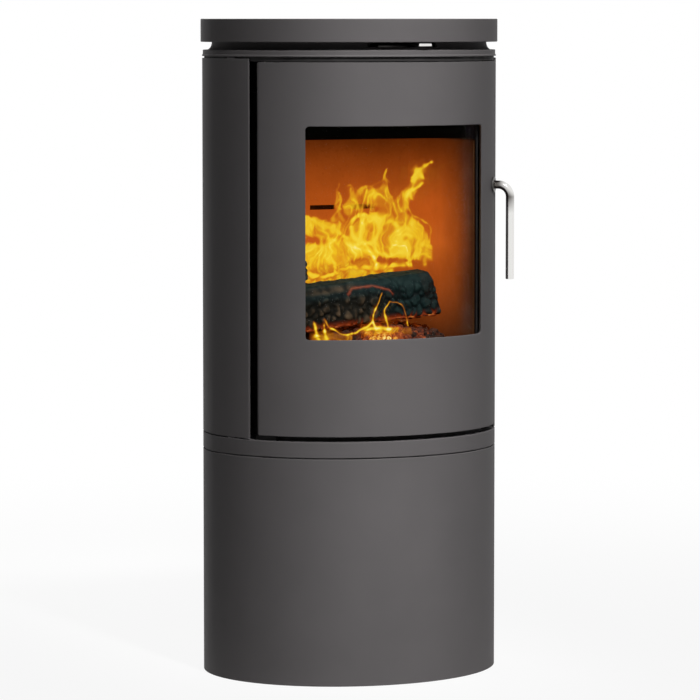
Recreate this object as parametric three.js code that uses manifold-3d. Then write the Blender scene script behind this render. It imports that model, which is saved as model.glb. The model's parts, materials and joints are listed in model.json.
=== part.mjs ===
// Oval free-standing wood stove with a curved glazed door, a convection casing and a closed pedestal.
// Millimetres. +Z is up, the door faces -Y, and the origin is on the floor under the middle of the oval.
import * as THREE from 'three';
import { mergeVertices } from 'three/addons/utils/BufferGeometryUtils.js';
import Module from 'manifold-3d';

const wasm = await Module();
wasm.setup();

// ---------------------------------------------------------------- driving sizes

const fit = 0.3;                    // gap left between pieces that touch
const quarterTurn = 90;             // degrees
const arcStep = 4.1;                // degrees of the oval that one flat facet covers
const outlineSteps = 64;            // facets round the whole body outline
const roundSides = 16;              // facets of small round pieces
const flueSides = 40;               // facets of the flue collar and the ducts

// the plan of the stove: an oval with a flat back
const bodyHalfWidth = 250;
const bodyFrontDepth = 217;
const backFaceY = 165;
const casingSheet = 3;
const edgeBreak = 1.2;              // bevel on the edges of the rings and the top plate

// heights, from the floor up
const baseHeight = 372;
const baseSeam = 1.7;
const middleRingHeight = 26.2;
const doorGapBelow = 8.1;
const doorRailBelow = 157.5;        // door plate under the window
const windowHeight = 345;
const doorRailAbove = 103;          // door plate over the window
const doorGapAbove = 8.5;
const upperRingBand = 10.5;
const neckHeight = 12.7;
const topPlateThickness = 38;

// base
const floorPlateThickness = 4;
const postLeg = 32;
const postSheet = 3;
const baseFrameX = 150;             // outer face of each side frame of the pedestal
const baseFrameFrontY = -120;
const baseFrameBackY = 140;
const levellingScrewRadius = 5;
const levellingScrewLength = 34;
const levellingNutRadius = 9;
const levellingNutHeight = 12;
const levellingScrewX = 100;
const levellingScrewFrontY = -125;
const levellingScrewBackY = 115;
const inletRadius = 50;
const inletHeight = 90;

// middle ring
const middleRingWall = 6;
const deckThickness = 6;
const spigotDepth = 12;
const spigotWall = 3;
const ductRadius = 48;

// upper ring and top plate
const ledgeWidth = 7;
const neckInset = 16;
const neckWall = 4;
const upperDeckWidth = 8;
const upperDeckThickness = 4;
const skirtInset = 3.4;             // skirt of the upper ring, behind the gaps over the door and the side panels
const skirtDrop = 7;
const topPlateOverhang = 2.5;
const topPlateSeat = 3;
const topPlateDeck = 8;

// casing
const panelSeamBelow = 1.8;
const panelSeamAbove = 3;
const panelFootSpan = 5;            // degrees of the oval that a side panel's foot covers
const panelFootInset = 8;
const sideGap = 18;                 // open slot between the door and a side panel
const louvreCount = 7;
const louvreWidth = 190;
const louvreHeight = 9;
const louvrePitch = 22;
const louvreDrop = 60;              // from the top of the back panel to the highest louvre

// door, built up inwards from its outer face
const doorPlate = 5;
const windowHalfAngle = 39.8;
const windowCorner = 6;
const glassOverlap = 10;
const glassThickness = 4;
const glassGasket = 1.7;
const clipSheet = 2;
const clipGrip = 8;                 // how far a clip reaches over the glass
const clipFoot = 8;
const clipToChannel = 1.2;
const channelSheet = 2;
const channelDepth = 7;
const ropeWidth = 10.5;
const ropeDepth = 9.4;
const channelMargin = 14.5;         // from the door's top and bottom edge to the rope channel
const channelToLatch = 16;          // from the rope channel to the latch shaft
const latchToEdge = 24;             // from the latch shaft to the door's edge

// hinges
const hingeDepth = 13.8;            // the hinge line, measured inwards from the door's outer face
const hingeSetback = 7.5;           // and along the door from its edge, so that the edge clears the side panel
const pinRadius = 4;
const pinClearance = 0.35;
const pinShort = 2;                 // a pin ends this far inside its lug
const lugRadius = 7.5;
const lugHeight = 22;
const lugStrap = 4.5;
const lugStrapLength = 22;
const bracketThickness = 6.6;
const bracketFace = 7;              // the bracket's front edge, inwards from the outer face
const bracketTail = 6.5;            // how far it reaches behind the hinge line
const bracketOutboard = 17;         // from the hinge line towards the side panel
const bracketInboard = 22;          // from the hinge line towards the middle of the door

// handle and latch
const rodRadius = 7;
const rodSides = 20;
const bendSteps = 8;
const handleStandoff = 29;
const handleBend = 20;
const handleDrop = 157;
const handleAboveWindow = 243.7;    // from the window's lower edge to the latch shaft
const bushingWall = 3;
const bushingFlange = 3;
const bushingFlangeThickness = 2;
const bushingLift = 1.2;            // clears the curve of the door plate
const camThickness = 5;
const camHubRadius = 11;
const camReach = 17.5;
const camHalfWidth = 6;
const camDepth = 8.5;
const rollerRadius = 4;
const rollerHeight = 24;
const keeperSheet = 3;

// firebox
const frameSheet = 3;
const frameLip = 8;                 // frame beyond the rope channel
const frameOpeningLip = 6;          // frame inside the rope
const wallSheet = 4;
const fireboxToBack = 43;           // from the firebox's back wall to the casing's back face
const hearthDrop = 50;              // from the window's lower edge to the firebox floor
const sillRise = 15;                // from the firebox floor to the lower edge of its mouth
const floorSheet = 5;
const roofRise = 47;                // from the window's upper edge to the firebox roof
const roofSheet = 4;
const brickThickness = 20;
const backBrickThickness = 25;
const hearthBrickThickness = 25;
const baffleThickness = 25;
const baffleDrop = 24.7;            // the baffle's underside below the window's upper edge
const baffleFrontGap = 120;         // smoke path between the door frame and the baffle
const airSlotCount = 3;
const airSlotWidth = 58;
const airSlotHeight = 9;
const airSlotPitch = 76;
const airSlotRise = 200;            // above the window's lower edge
const grateHalfWidth = 80;
const grateFrontY = -95;
const grateBackY = 55;
const grateThickness = 12;
const grateLip = 10;
const grateSlotCount = 7;
const grateBar = 9;
const logGuardHeight = 46;
const logGuardSheet = 4;
const logGuardSetback = 4;
const airWashInset = 12;            // from the frame's back face to the air-wash slot
const airWashSlot = 10;
const airWashHalfAngle = 32;

// ash pan
const ashOpeningHalfWidth = 112;
const ashPanSideGap = 8;
const ashPanTopGap = 8;
const ashPanSheet = 2;
const ashPanSetback = 32;           // from the frame's back face to the pan's front, at the middle
const ashPanLength = 230;
const ashHandleHalfWidth = 40;
const ashHandleReach = 18;
const ashHandleSheet = 3;
const ashHandleDrop = 10;
const ashShelfSheet = 4.8;

// flue
const flueRadius = 75;
const flueWall = 3;
const flueCentreY = 45;
const flueBelowTop = 3;

// air control
const airPivotY = -75;
const airBoxHalfWidth = 120;
const airBoxBackY = -48;
const airBoxSheet = 2;
const damperSheet = 2;
const damperHubRadius = 12;
const damperInnerRadius = 40;
const damperOuterRadius = 84;
const damperHalfAngle = 30;
const damperSlotCount = 4;
const damperSlotPitch = 15;         // degrees
const damperSlotSpan = 7;           // degrees
const damperSlotMargin = 8;
const leverSheet = 3;
const leverHalfWidth = 7;
const leverRest = 13.7;             // degrees right of straight ahead, as photographed
const leverSwing = 18;              // degrees to each side of straight ahead
const leverNotchGap = 5;
const tabHalfWidth = 13.5;
const tabLength = 14;
const tabThickness = 5;
const tabSocket = 10;
const pivotRadius = 4;
const pivotHeadRadius = 7;
const pivotHeadHeight = 1.6;
const pivotLength = 14;

// fuel; lengths and places are shares of the hearth's width and depth, rises are in log thicknesses
const emberHeight = 32;
const emberMargin = 9;              // from the embers to a side brick
const emberDepthShare = 0.75;
const emberMiddleShare = 0.545;     // from the front of the hearth
const logThickness = 70;
const fuelLogs = [
  { name: 'log_front', length: 0.875, girth: 1.14, along: -0.04, behind: 0.435, rise: 0.65, turn: 7, tilt: -4.2 },
  { name: 'log_rear', length: 0.84, girth: 0.95, along: 0, behind: 0.835, rise: 0.52, turn: -4, tilt: 0 },
  { name: 'log_top', length: 0.53, girth: 0.66, along: -0.415, toBrick: 1.2, rise: 1.383, turn: 90, tilt: 3.4 },
];

// ---------------------------------------------------------------- levels and insets worked out from them

const ringBottom = baseHeight + baseSeam;
const ringTop = ringBottom + middleRingHeight;
const doorBottom = ringTop + doorGapBelow;
const windowBottom = doorBottom + doorRailBelow;
const windowTop = windowBottom + windowHeight;
const doorTop = windowTop + doorRailAbove;
const upperRingBottom = doorTop + doorGapAbove;
const ledgeZ = upperRingBottom + upperRingBand;
const neckTop = ledgeZ + neckHeight;
const topPlateBottom = neckTop + fit;
const topPlateTop = topPlateBottom + topPlateThickness;

const channelWidth = ropeWidth + 2 * (channelSheet + fit);
const channelInset = doorPlate + fit;
const ropeInset = channelInset + channelSheet + fit;
const frameInset = ropeInset + ropeDepth + fit;
const frameBackInset = frameInset + frameSheet;
const glassInset = doorPlate + 2 * fit + glassGasket;
const clipInset = glassInset + glassThickness + fit;
const neckInnerInset = neckInset + neckWall;
const upperDeckInset = neckInnerInset + upperDeckWidth;
const guardInset = frameBackInset + logGuardSetback;

const channelBottom = doorBottom + channelMargin;
const channelTop = doorTop - channelMargin;
const mouthBottomLimit = channelBottom + channelWidth;
const mouthTop = channelTop - channelWidth - frameOpeningLip;
const hearthTop = windowBottom - hearthDrop;
const hearthBottom = hearthTop - floorSheet;
const ashOpeningBottom = mouthBottomLimit + frameOpeningLip;
const ashOpeningTop = hearthBottom - fit;
const ashShelfTop = ashOpeningBottom + fit;
const roofBottom = windowTop + roofRise;
const roofTop = roofBottom + roofSheet;
const baffleBottom = windowTop - baffleDrop;
const backWallFront = backFaceY - fireboxToBack - wallSheet;
const backBrickFront = backWallFront - fit - backBrickThickness;
const handleZ = windowBottom + handleAboveWindow;

const pivotHeadTop = neckTop - fit;
const leverTop = pivotHeadTop - pivotHeadHeight - fit;
const leverBottom = leverTop - leverSheet;
const damperTop = leverBottom - fit;
const damperBottom = damperTop - damperSheet;
const airBoxTop = damperBottom - fit;

// ---------------------------------------------------------------- plan geometry

const radians = THREE.MathUtils.degToRad;
const degrees = THREE.MathUtils.radToDeg;

// A point of the oval plan. The angle runs from the front towards +X, and inset moves it inwards.
function ovalPoint(angle, inset = 0) {
  return new THREE.Vector2(
    (bodyHalfWidth - inset) * Math.sin(radians(angle)),
    -(bodyFrontDepth - inset) * Math.cos(radians(angle)),
  );
}

// The angle reached from another one by walking a distance along the oval.
function walk(angle, distance) {
  const across = bodyHalfWidth * Math.cos(radians(angle));
  const along = bodyFrontDepth * Math.sin(radians(angle));
  return angle + degrees(distance / Math.hypot(across, along));
}

// The y of the oval's front half at a given x.
function frontY(x, inset) {
  return -(bodyFrontDepth - inset) * Math.sqrt(1 - (x / (bodyHalfWidth - inset)) ** 2);
}

// The x of the oval's right half at a given y.
function sideX(y, inset) {
  return (bodyHalfWidth - inset) * Math.sqrt(1 - (y / (bodyFrontDepth - inset)) ** 2);
}

function angleAtX(x, inset) {
  return degrees(Math.asin(x / (bodyHalfWidth - inset)));
}

function angleAtY(y, inset) {
  return degrees(Math.acos(-y / (bodyFrontDepth - inset)));
}

function arc(from, to, inset, steps = Math.max(1, Math.ceil(Math.abs(to - from) / arcStep))) {
  return Array.from({ length: steps + 1 }, (_, i) => ovalPoint(from + ((to - from) * i) / steps, inset));
}

// The whole body outline, counterclockwise from the left back corner to the right one.
function bodyOutline(inset) {
  const corner = angleAtY(backFaceY - inset, inset);
  return arc(-corner, corner, inset, outlineSteps);
}

// An outline with a curved front at an inset and straight sides and back.
function curvedFrontOutline(halfWidth, inset, backY) {
  const corner = angleAtX(halfWidth, inset);
  return [...arc(-corner, corner, inset), new THREE.Vector2(halfWidth, backY), new THREE.Vector2(-halfWidth, backY)];
}

function circle(x, y, radius, sides = roundSides) {
  return Array.from({ length: sides }, (_, i) => new THREE.Vector2(
    x + radius * Math.cos((2 * Math.PI * i) / sides),
    y + radius * Math.sin((2 * Math.PI * i) / sides),
  ));
}

function rectangle(left, front, right, back) {
  return [[left, front], [right, front], [right, back], [left, back]].map(([x, y]) => new THREE.Vector2(x, y));
}

// A rectangle with round corners, centred on x = 0.
function roundedRectangle(halfWidth, bottom, top, radius) {
  const steps = 4;
  const corners = [
    [halfWidth - radius, bottom + radius, -quarterTurn],
    [halfWidth - radius, top - radius, 0],
    [radius - halfWidth, top - radius, quarterTurn],
    [radius - halfWidth, bottom + radius, 2 * quarterTurn],
  ];
  return corners.flatMap(([x, y, start]) => Array.from({ length: steps + 1 }, (_, i) => {
    const angle = radians(start + (quarterTurn * i) / steps);
    return new THREE.Vector2(x + radius * Math.cos(angle), y + radius * Math.sin(angle));
  }));
}

// A sector between two radii, about straight ahead (-Y) of a centre.
function sector(centreY, innerRadius, outerRadius, from, to) {
  const steps = Math.max(2, Math.ceil((to - from) / 7.5));
  const rim = (radius) => Array.from({ length: steps + 1 }, (_, i) => {
    const angle = radians(from + ((to - from) * i) / steps);
    return new THREE.Vector2(radius * Math.sin(angle), centreY - radius * Math.cos(angle));
  });
  return [...rim(outerRadius), ...rim(innerRadius).reverse()];
}

// ---------------------------------------------------------------- solids

// An outline in plan, extruded from one level up to another.
function prism(outline, bottom, top, holes = []) {
  const shape = new THREE.Shape(outline);
  shape.holes = holes.map((points) => new THREE.Path(points));
  const geometry = new THREE.ExtrudeGeometry(shape, { depth: 1, bevelEnabled: false });
  const { position } = geometry.attributes;
  for (let i = 0; i < position.count; i += 1) {
    position.setZ(i, position.getZ(i) > 0.5 ? top : bottom);
  }
  return geometry;
}

// A curved plate that follows the oval between two insets, two angles and two levels.
function curvedPlate(outerInset, innerInset, from, to, bottom, top) {
  return prism([...arc(from, to, outerInset), ...arc(to, from, innerInset)], bottom, top);
}

// A curved plate with a smaller curved window in it.
function curvedFrame(outerInset, innerInset, outer, inner) {
  const plate = curvedPlate(outerInset, innerInset, -outer.angle, outer.angle, outer.bottom, outer.top);
  const hole = curvedPlate(outerInset - 1, innerInset + 1, -inner.angle, inner.angle, inner.bottom, inner.top);
  return cut(plate, hole);
}

function block(left, front, bottom, right, back, top) {
  return prism(rectangle(left, front, right, back), bottom, top);
}

function cylinder(radius, bottom, top, x = 0, y = 0, sides = roundSides) {
  return prism(circle(x, y, radius, sides), bottom, top);
}

// Body outlines at successive insets and levels, skinned into a ring or, when capped, a solid.
function loft(levels, capped) {
  const loops = levels.map(({ inset, z }) => bodyOutline(inset).map((p) => new THREE.Vector3(p.x, p.y, z)));
  const count = loops[0].length;
  const index = [];
  const bands = capped ? loops.length - 1 : loops.length;
  for (let k = 0; k < bands; k += 1) {
    const low = k * count;
    const high = ((k + 1) % loops.length) * count;
    for (let i = 0; i < count; i += 1) {
      const next = (i + 1) % count;
      index.push(low + i, low + next, high + next, low + i, high + next, high + i);
    }
  }
  if (capped) {
    const last = (loops.length - 1) * count;
    const faces = THREE.ShapeUtils.triangulateShape(loops[0].map((p) => new THREE.Vector2(p.x, p.y)), []);
    faces.forEach(([a, b, c]) => index.push(a, c, b, last + a, last + b, last + c));
  }
  const geometry = new THREE.BufferGeometry();
  geometry.setAttribute('position', new THREE.Float32BufferAttribute(loops.flat().flatMap((p) => p.toArray()), 3));
  geometry.setIndex(index);
  return geometry;
}

function toManifold(geometry) {
  const bare = geometry.clone();
  bare.deleteAttribute('normal');
  bare.deleteAttribute('uv');
  const merged = mergeVertices(bare);
  return new wasm.Manifold(new wasm.Mesh({
    numProp: 3,
    vertProperties: Float32Array.from(merged.attributes.position.array),
    triVerts: Uint32Array.from(merged.index.array),
  }));
}

function toGeometry(manifold) {
  const mesh = manifold.getMesh();
  const geometry = new THREE.BufferGeometry();
  geometry.setAttribute('position', new THREE.BufferAttribute(Float32Array.from(mesh.vertProperties), 3));
  geometry.setIndex(new THREE.BufferAttribute(Uint32Array.from(mesh.triVerts), 1));
  return geometry;
}

function cut(geometry, ...tools) {
  return toGeometry(tools.reduce((rest, tool) => rest.subtract(toManifold(tool)), toManifold(geometry)));
}

function join(...geometries) {
  return toGeometry(geometries.map(toManifold).reduce((sum, piece) => sum.add(piece)));
}

// ---------------------------------------------------------------- finishes and the part tree

const finishes = {
  casing: { color: 0x393938, roughness: 0.55, metalness: 0.3 },
  innerSteel: { color: 0x1c1b1a, roughness: 0.8, metalness: 0.3 },
  castIron: { color: 0x262524, roughness: 0.85, metalness: 0.4 },
  stainless: { color: 0xc9c7c1, roughness: 0.22, metalness: 1 },
  steel: { color: 0x8c8b88, roughness: 0.4, metalness: 0.9 },
  glass: { color: 0x20201e, roughness: 0.05, metalness: 0, transparent: true, opacity: 0.35 },
  refractory: { color: 0xa8763f, roughness: 0.95, metalness: 0 },
  rope: { color: 0x4a4946, roughness: 1, metalness: 0 },
  char: { color: 0x14110f, roughness: 1, metalness: 0 },
  ember: { color: 0xb5440f, roughness: 1, metalness: 0 },
};

const stove = new THREE.Group();

function add(name, geometry, finish, parent = stove) {
  const mesh = new THREE.Mesh(geometry, new THREE.MeshStandardMaterial(finishes[finish]));
  mesh.name = name;
  parent.add(mesh);
  return mesh;
}

// ---------------------------------------------------------------- pedestal

function addBaseShell() {
  const outerCorner = angleAtY(backFaceY, 0);
  const innerCorner = angleAtY(backFaceY, casingSheet);
  const outline = [...arc(-outerCorner, outerCorner, 0), ...arc(innerCorner, -innerCorner, casingSheet)];
  add('base_shell', prism(outline, 0, baseHeight), 'casing');
}

function addBaseBackPanel() {
  const halfWidth = sideX(backFaceY, casingSheet) - fit;
  const panel = block(-halfWidth, backFaceY - casingSheet, 0, halfWidth, backFaceY, baseHeight);
  const airInlet = cylinder(inletRadius, -1, casingSheet + 1, 0, 0, flueSides)
    .rotateX(radians(90)).translate(0, backFaceY, inletHeight);
  add('base_back_panel', cut(panel, airInlet), 'casing');
}

function addBaseFloor() {
  const spots = [-levellingScrewX, levellingScrewX].flatMap(
    (x) => [[x, levellingScrewFrontY], [x, levellingScrewBackY]],
  );
  const nutTop = floorPlateThickness + levellingNutHeight;
  const plate = prism(bodyOutline(casingSheet + fit), 0, floorPlateThickness);
  const nuts = spots.map(([x, y]) => cylinder(levellingNutRadius, 0, nutTop, x, y, 6));
  const holes = spots.map(([x, y]) => cylinder(levellingScrewRadius + fit, -1, nutTop + 1, x, y));
  add('base_floor_plate', cut(join(plate, ...nuts), ...holes), 'innerSteel');
  const corners = ['front_left', 'back_left', 'front_right', 'back_right'];
  spots.forEach(([x, y], i) => {
    add(`levelling_screw_${corners[i]}`, cylinder(levellingScrewRadius, 0, levellingScrewLength, x, y), 'steel');
  });
}

// The pedestal's welded frame: on each side two posts, a foot rail and a head rail, and two rails across.
function addBaseFrame() {
  const bottom = floorPlateThickness + fit;
  const top = ringTop - deckThickness - fit;
  const sides = [-1, 1].flatMap((side) => {
    const inner = baseFrameX - postLeg;
    const leaf = side < 0 ? [-baseFrameX, -baseFrameX + postSheet] : [baseFrameX - postSheet, baseFrameX];
    const flange = side < 0 ? [-baseFrameX, -inner] : [inner, baseFrameX];
    const web = block(leaf[0], baseFrameFrontY, bottom, leaf[1], baseFrameBackY, top);
    const opening = block(
      -baseFrameX - 1, baseFrameFrontY + postLeg, bottom + postLeg,
      baseFrameX + 1, baseFrameBackY - postLeg, top - postLeg,
    );
    const front = block(flange[0], baseFrameFrontY, bottom, flange[1], baseFrameFrontY + postSheet, top);
    const back = block(flange[0], baseFrameBackY - postSheet, bottom, flange[1], baseFrameBackY, top);
    return [cut(web, opening), front, back];
  });
  const frontRail = block(
    -baseFrameX, baseFrameFrontY, top - postLeg, baseFrameX, baseFrameFrontY + postSheet, top,
  );
  const backRail = block(-baseFrameX, baseFrameBackY - postSheet, top - postLeg, baseFrameX, baseFrameBackY, top);
  add('base_frame', join(...sides, frontRail, backRail), 'innerSteel');
}

// ---------------------------------------------------------------- middle ring, upper ring, top plate

function addMiddleRing() {
  const band = loft([
    { inset: edgeBreak, z: ringBottom },
    { inset: 0, z: ringBottom + edgeBreak },
    { inset: 0, z: ringTop - edgeBreak },
    { inset: edgeBreak, z: ringTop },
  ], true);
  const hollow = prism(bodyOutline(middleRingWall), ringBottom - 1, ringTop - deckThickness);
  const spigotInset = casingSheet + fit;
  const spigot = prism(
    bodyOutline(spigotInset), ringBottom - spigotDepth, ringBottom + edgeBreak,
    [bodyOutline(spigotInset + spigotWall)],
  );
  const duct = cylinder(ductRadius, ringBottom, ringTop + 1, 0, 0, flueSides);
  add('middle_ring', cut(join(cut(band, hollow), spigot), duct), 'casing');
}

function leverReach() {
  return airPivotY + bodyFrontDepth;
}

function addUpperRing() {
  const coveSteps = 3;
  const cove = Array.from({ length: coveSteps + 1 }, (_, i) => {
    const turn = radians((90 * i) / coveSteps);
    return {
      inset: ledgeWidth + (neckInset - ledgeWidth) * Math.sin(turn),
      z: ledgeZ + (neckTop - ledgeZ) * (1 - Math.cos(turn)),
    };
  });
  const ring = loft([
    { inset: 0, z: upperRingBottom },
    { inset: 0, z: ledgeZ - edgeBreak },
    { inset: edgeBreak, z: ledgeZ },
    ...cove,
    { inset: neckInnerInset, z: neckTop },
    { inset: neckInnerInset, z: upperRingBottom + upperDeckThickness },
    { inset: upperDeckInset, z: upperRingBottom + upperDeckThickness },
    { inset: upperDeckInset, z: upperRingBottom },
    { inset: skirtInset + casingSheet, z: upperRingBottom },
    { inset: skirtInset + casingSheet, z: upperRingBottom - skirtDrop },
    { inset: skirtInset, z: upperRingBottom - skirtDrop },
    { inset: skirtInset, z: upperRingBottom },
  ], false);
  const notchHalf = leverReach() * Math.sin(radians(leverSwing)) + tabHalfWidth + leverNotchGap;
  const notch = block(-notchHalf, -bodyFrontDepth - 1, damperBottom, notchHalf, airPivotY, neckTop + 1);
  add('upper_ring', cut(ring, notch), 'casing');
}

function addTopPlate() {
  const edge = -topPlateOverhang;
  const slab = loft([
    { inset: edge + edgeBreak, z: topPlateBottom },
    { inset: edge, z: topPlateBottom + edgeBreak },
    { inset: edge, z: topPlateTop - edgeBreak },
    { inset: edge + edgeBreak, z: topPlateTop },
  ], true);
  const recess = prism(bodyOutline(neckInnerInset + topPlateSeat), topPlateBottom - 1, topPlateTop - topPlateDeck);
  const flueHole = cylinder(flueRadius + flueWall + fit, topPlateBottom, topPlateTop + 1, 0, flueCentreY, flueSides);
  add('top_plate', cut(slab, recess, flueHole), 'casing');
}

// ---------------------------------------------------------------- convection casing

function addSidePanels() {
  const front = walk(doorHalfAngle, sideGap);
  const outerCorner = angleAtY(backFaceY, 0);
  const innerCorner = angleAtY(backFaceY, casingSheet);
  const bottom = ringTop + panelSeamBelow;
  const top = upperRingBottom - panelSeamAbove;
  [['side_panel_left', -1], ['side_panel_right', 1]].forEach(([name, side]) => {
    const outline = [
      ...arc(side * front, side * outerCorner, 0),
      ...arc(side * innerCorner, side * front, casingSheet),
    ];
    const feet = [front + panelFootInset, outerCorner - panelFootInset - panelFootSpan].flatMap((angle) => [
      [ringTop + fit, bottom + 1],
      [top - 1, upperRingBottom - fit],
    ].map(([low, high]) => curvedPlate(
      casingSheet / 3, casingSheet, side * angle, side * (angle + panelFootSpan), low, high,
    )));
    add(name, join(prism(outline, bottom, top), ...feet), 'casing');
  });
}

function addBackPanel() {
  const halfWidth = sideX(backFaceY, casingSheet) - fit;
  const top = upperRingBottom - fit;
  const panel = block(-halfWidth, backFaceY - casingSheet, ringTop + fit, halfWidth, backFaceY, top);
  const louvres = Array.from({ length: louvreCount }, (_, i) => {
    const z = top - louvreDrop - i * louvrePitch;
    return block(
      -louvreWidth / 2, backFaceY - casingSheet - 1, z - louvreHeight, louvreWidth / 2, backFaceY + 1, z,
    );
  });
  add('back_panel', cut(panel, ...louvres), 'casing');
}

// ---------------------------------------------------------------- door

// Angles of the door's features, from the window's edge outwards.
const windowHalfWidth = ovalPoint(windowHalfAngle).x;
const glassEdge = angleAtX(windowHalfWidth + glassOverlap, glassInset);
const clipStart = walk(glassEdge, -clipGrip);
const clipFootStart = walk(glassEdge, fit);
const clipEnd = walk(clipFootStart, clipFoot);
const channelStart = walk(clipEnd, clipToChannel);
const channelEnd = walk(channelStart, channelWidth);
const latchAngle = walk(channelEnd, channelToLatch);
const doorHalfAngle = walk(latchAngle, latchToEdge);
const frameHalfAngle = walk(channelEnd, frameLip);
const mouthHalfAngle = walk(channelStart, -frameOpeningLip);
const wallOuterX = ovalPoint(frameHalfAngle, frameBackInset).x;
const wallInnerX = wallOuterX - wallSheet;
const brickFaceX = wallInnerX - fit - brickThickness;

function addDoorPlate() {
  const plate = curvedPlate(0, doorPlate, -doorHalfAngle, doorHalfAngle, doorBottom, doorTop);
  const windowHole = prism(
    roundedRectangle(windowHalfWidth, windowBottom, windowTop, windowCorner), 0, bodyFrontDepth + 1,
  ).rotateX(radians(90));
  const shaftHole = cylinder(rodRadius + bushingWall + 2 * fit, -2 * doorPlate, 2 * doorPlate)
    .applyMatrix4(latchFrame());
  add('door_plate', cut(plate, windowHole, shaftHole), 'casing');
}

function addGlazing() {
  const bottom = windowBottom - glassOverlap;
  const top = windowTop + glassOverlap;
  add('door_glass', curvedPlate(
    glassInset, glassInset + glassThickness, -glassEdge, glassEdge, bottom, top,
  ), 'glass');
  add('glass_gasket', curvedFrame(
    doorPlate + fit, glassInset - fit,
    { angle: glassEdge, bottom, top },
    { angle: clipStart, bottom: bottom + clipGrip, top: top - clipGrip },
  ), 'rope');

  [['glass_clip_left', -1], ['glass_clip_right', 1]].forEach(([name, side]) => {
    const section = [
      ...arc(side * clipStart, side * clipFootStart, clipInset),
      ...arc(side * clipFootStart, side * clipEnd, doorPlate + fit),
      ...arc(side * clipEnd, side * clipStart, clipInset + clipSheet),
    ];
    add(name, prism(section, windowBottom, windowTop), 'innerSteel');
  });
  const endClipAngle = walk(clipStart, -clipToChannel);
  [['glass_clip_top', top, 1], ['glass_clip_bottom', bottom, -1]].forEach(([name, edge, side]) => {
    const strip = (outerInset, innerInset, from, to) => curvedPlate(
      outerInset, innerInset, -endClipAngle, endClipAngle,
      Math.min(edge + side * from, edge + side * to), Math.max(edge + side * from, edge + side * to),
    );
    const grip = strip(clipInset, clipInset + clipSheet, -clipGrip, clipFoot);
    const foot = strip(doorPlate + fit, clipInset + 1, fit, clipFoot);
    add(name, join(grip, foot), 'innerSteel');
  });
}

// The welded channel behind the door plate and the rope that lies in it.
function addRopeSeal() {
  const border = (margin) => [
    { angle: walk(channelEnd, -margin), bottom: channelBottom + margin, top: channelTop - margin },
    {
      angle: walk(channelStart, margin),
      bottom: channelBottom + channelWidth - margin,
      top: channelTop - channelWidth + margin,
    },
  ];
  const channelBack = channelInset + channelDepth;
  const channel = curvedFrame(channelInset, channelBack, ...border(0));
  const groove = curvedFrame(channelInset + channelSheet, channelBack + 1, ...border(channelSheet));
  add('rope_channel', cut(channel, groove), 'innerSteel');
  add('door_rope', curvedFrame(ropeInset, ropeInset + ropeDepth, ...border(channelSheet + fit)), 'rope');
}

// ---------------------------------------------------------------- hinges

function addHinges() {
  const hingeAngle = walk(-doorHalfAngle, hingeSetback);
  const axis = ovalPoint(hingeAngle, hingeDepth);
  const outboard = walk(hingeAngle, -bracketOutboard);
  const inboard = walk(hingeAngle, bracketInboard);
  const strapEnd = walk(hingeAngle, lugStrapLength);
  const strapInset = doorPlate + fit;
  const lowerBracket = ringTop + fit;
  const upperBracket = upperRingBottom - fit - bracketThickness;
  const upperLug = doorTop - lugHeight;
  [
    {
      where: 'lower', lug: doorBottom, bracket: lowerBracket,
      pin: [lowerBracket, doorBottom + lugHeight - pinShort],
    },
    {
      where: 'upper', lug: upperLug, bracket: upperBracket,
      pin: [upperLug + pinShort, upperBracket + bracketThickness],
    },
  ].forEach(({ where, lug, bracket, pin }) => {
    const barrel = cylinder(lugRadius, lug, lug + lugHeight, axis.x, axis.y);
    const strap = curvedPlate(
      strapInset, strapInset + lugStrap, walk(-doorHalfAngle, fit), strapEnd, lug, lug + lugHeight,
    );
    const pinHole = cylinder(pinRadius + pinClearance, lug - 1, lug + lugHeight + 1, axis.x, axis.y);
    add(`hinge_lug_${where}`, cut(join(barrel, strap), pinHole), 'innerSteel');

    const arm = prism([
      ovalPoint(outboard, bracketFace),
      ovalPoint(inboard, bracketFace),
      ovalPoint(inboard, frameBackInset),
      ovalPoint(outboard, hingeDepth + bracketTail + pinRadius),
    ], bracket, bracket + bracketThickness);
    const pinSeat = cylinder(pinRadius + fit, bracket - 1, bracket + bracketThickness + 1, axis.x, axis.y);
    add(`hinge_bracket_${where}`, cut(arm, pinSeat), 'innerSteel');
    add(`hinge_pin_${where}`, cylinder(pinRadius, ...pin, axis.x, axis.y), 'steel');
  });
}

// ---------------------------------------------------------------- handle and latch

// The latch's own frame: X outboard along the door, Y up, Z out of the door along the shaft.
function latchFrame() {
  const foot = ovalPoint(latchAngle);
  const outwards = new THREE.Vector3(
    Math.sin(radians(latchAngle)) / bodyHalfWidth, -Math.cos(radians(latchAngle)) / bodyFrontDepth, 0,
  ).normalize();
  const up = new THREE.Vector3(0, 0, 1);
  const outboard = new THREE.Vector3().crossVectors(up, outwards);
  return new THREE.Matrix4().makeBasis(outboard, up, outwards).setPosition(foot.x, foot.y, handleZ);
}

// The middle line of the handle in the latch's frame: shaft, quarter turn, hanging grip.
class HandleLine extends THREE.Curve {
  getPointAt(share) {
    const bent = THREE.MathUtils.clamp(share * (bendSteps + 2) - 1, 0, bendSteps);
    const turn = radians((90 * bent) / bendSteps);
    const point = new THREE.Vector3(
      0, -handleBend * (1 - Math.cos(turn)), handleStandoff - handleBend * (1 - Math.sin(turn)),
    );
    if (share === 0) point.z = -camDepth - camThickness;
    if (share === 1) point.y = -handleDrop;
    return point;
  }

  getTangentAt(share) {
    const bent = THREE.MathUtils.clamp(share * (bendSteps + 2) - 1, 0, bendSteps);
    const turn = radians((90 * bent) / bendSteps);
    return new THREE.Vector3(0, -Math.sin(turn), Math.cos(turn));
  }
}

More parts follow.
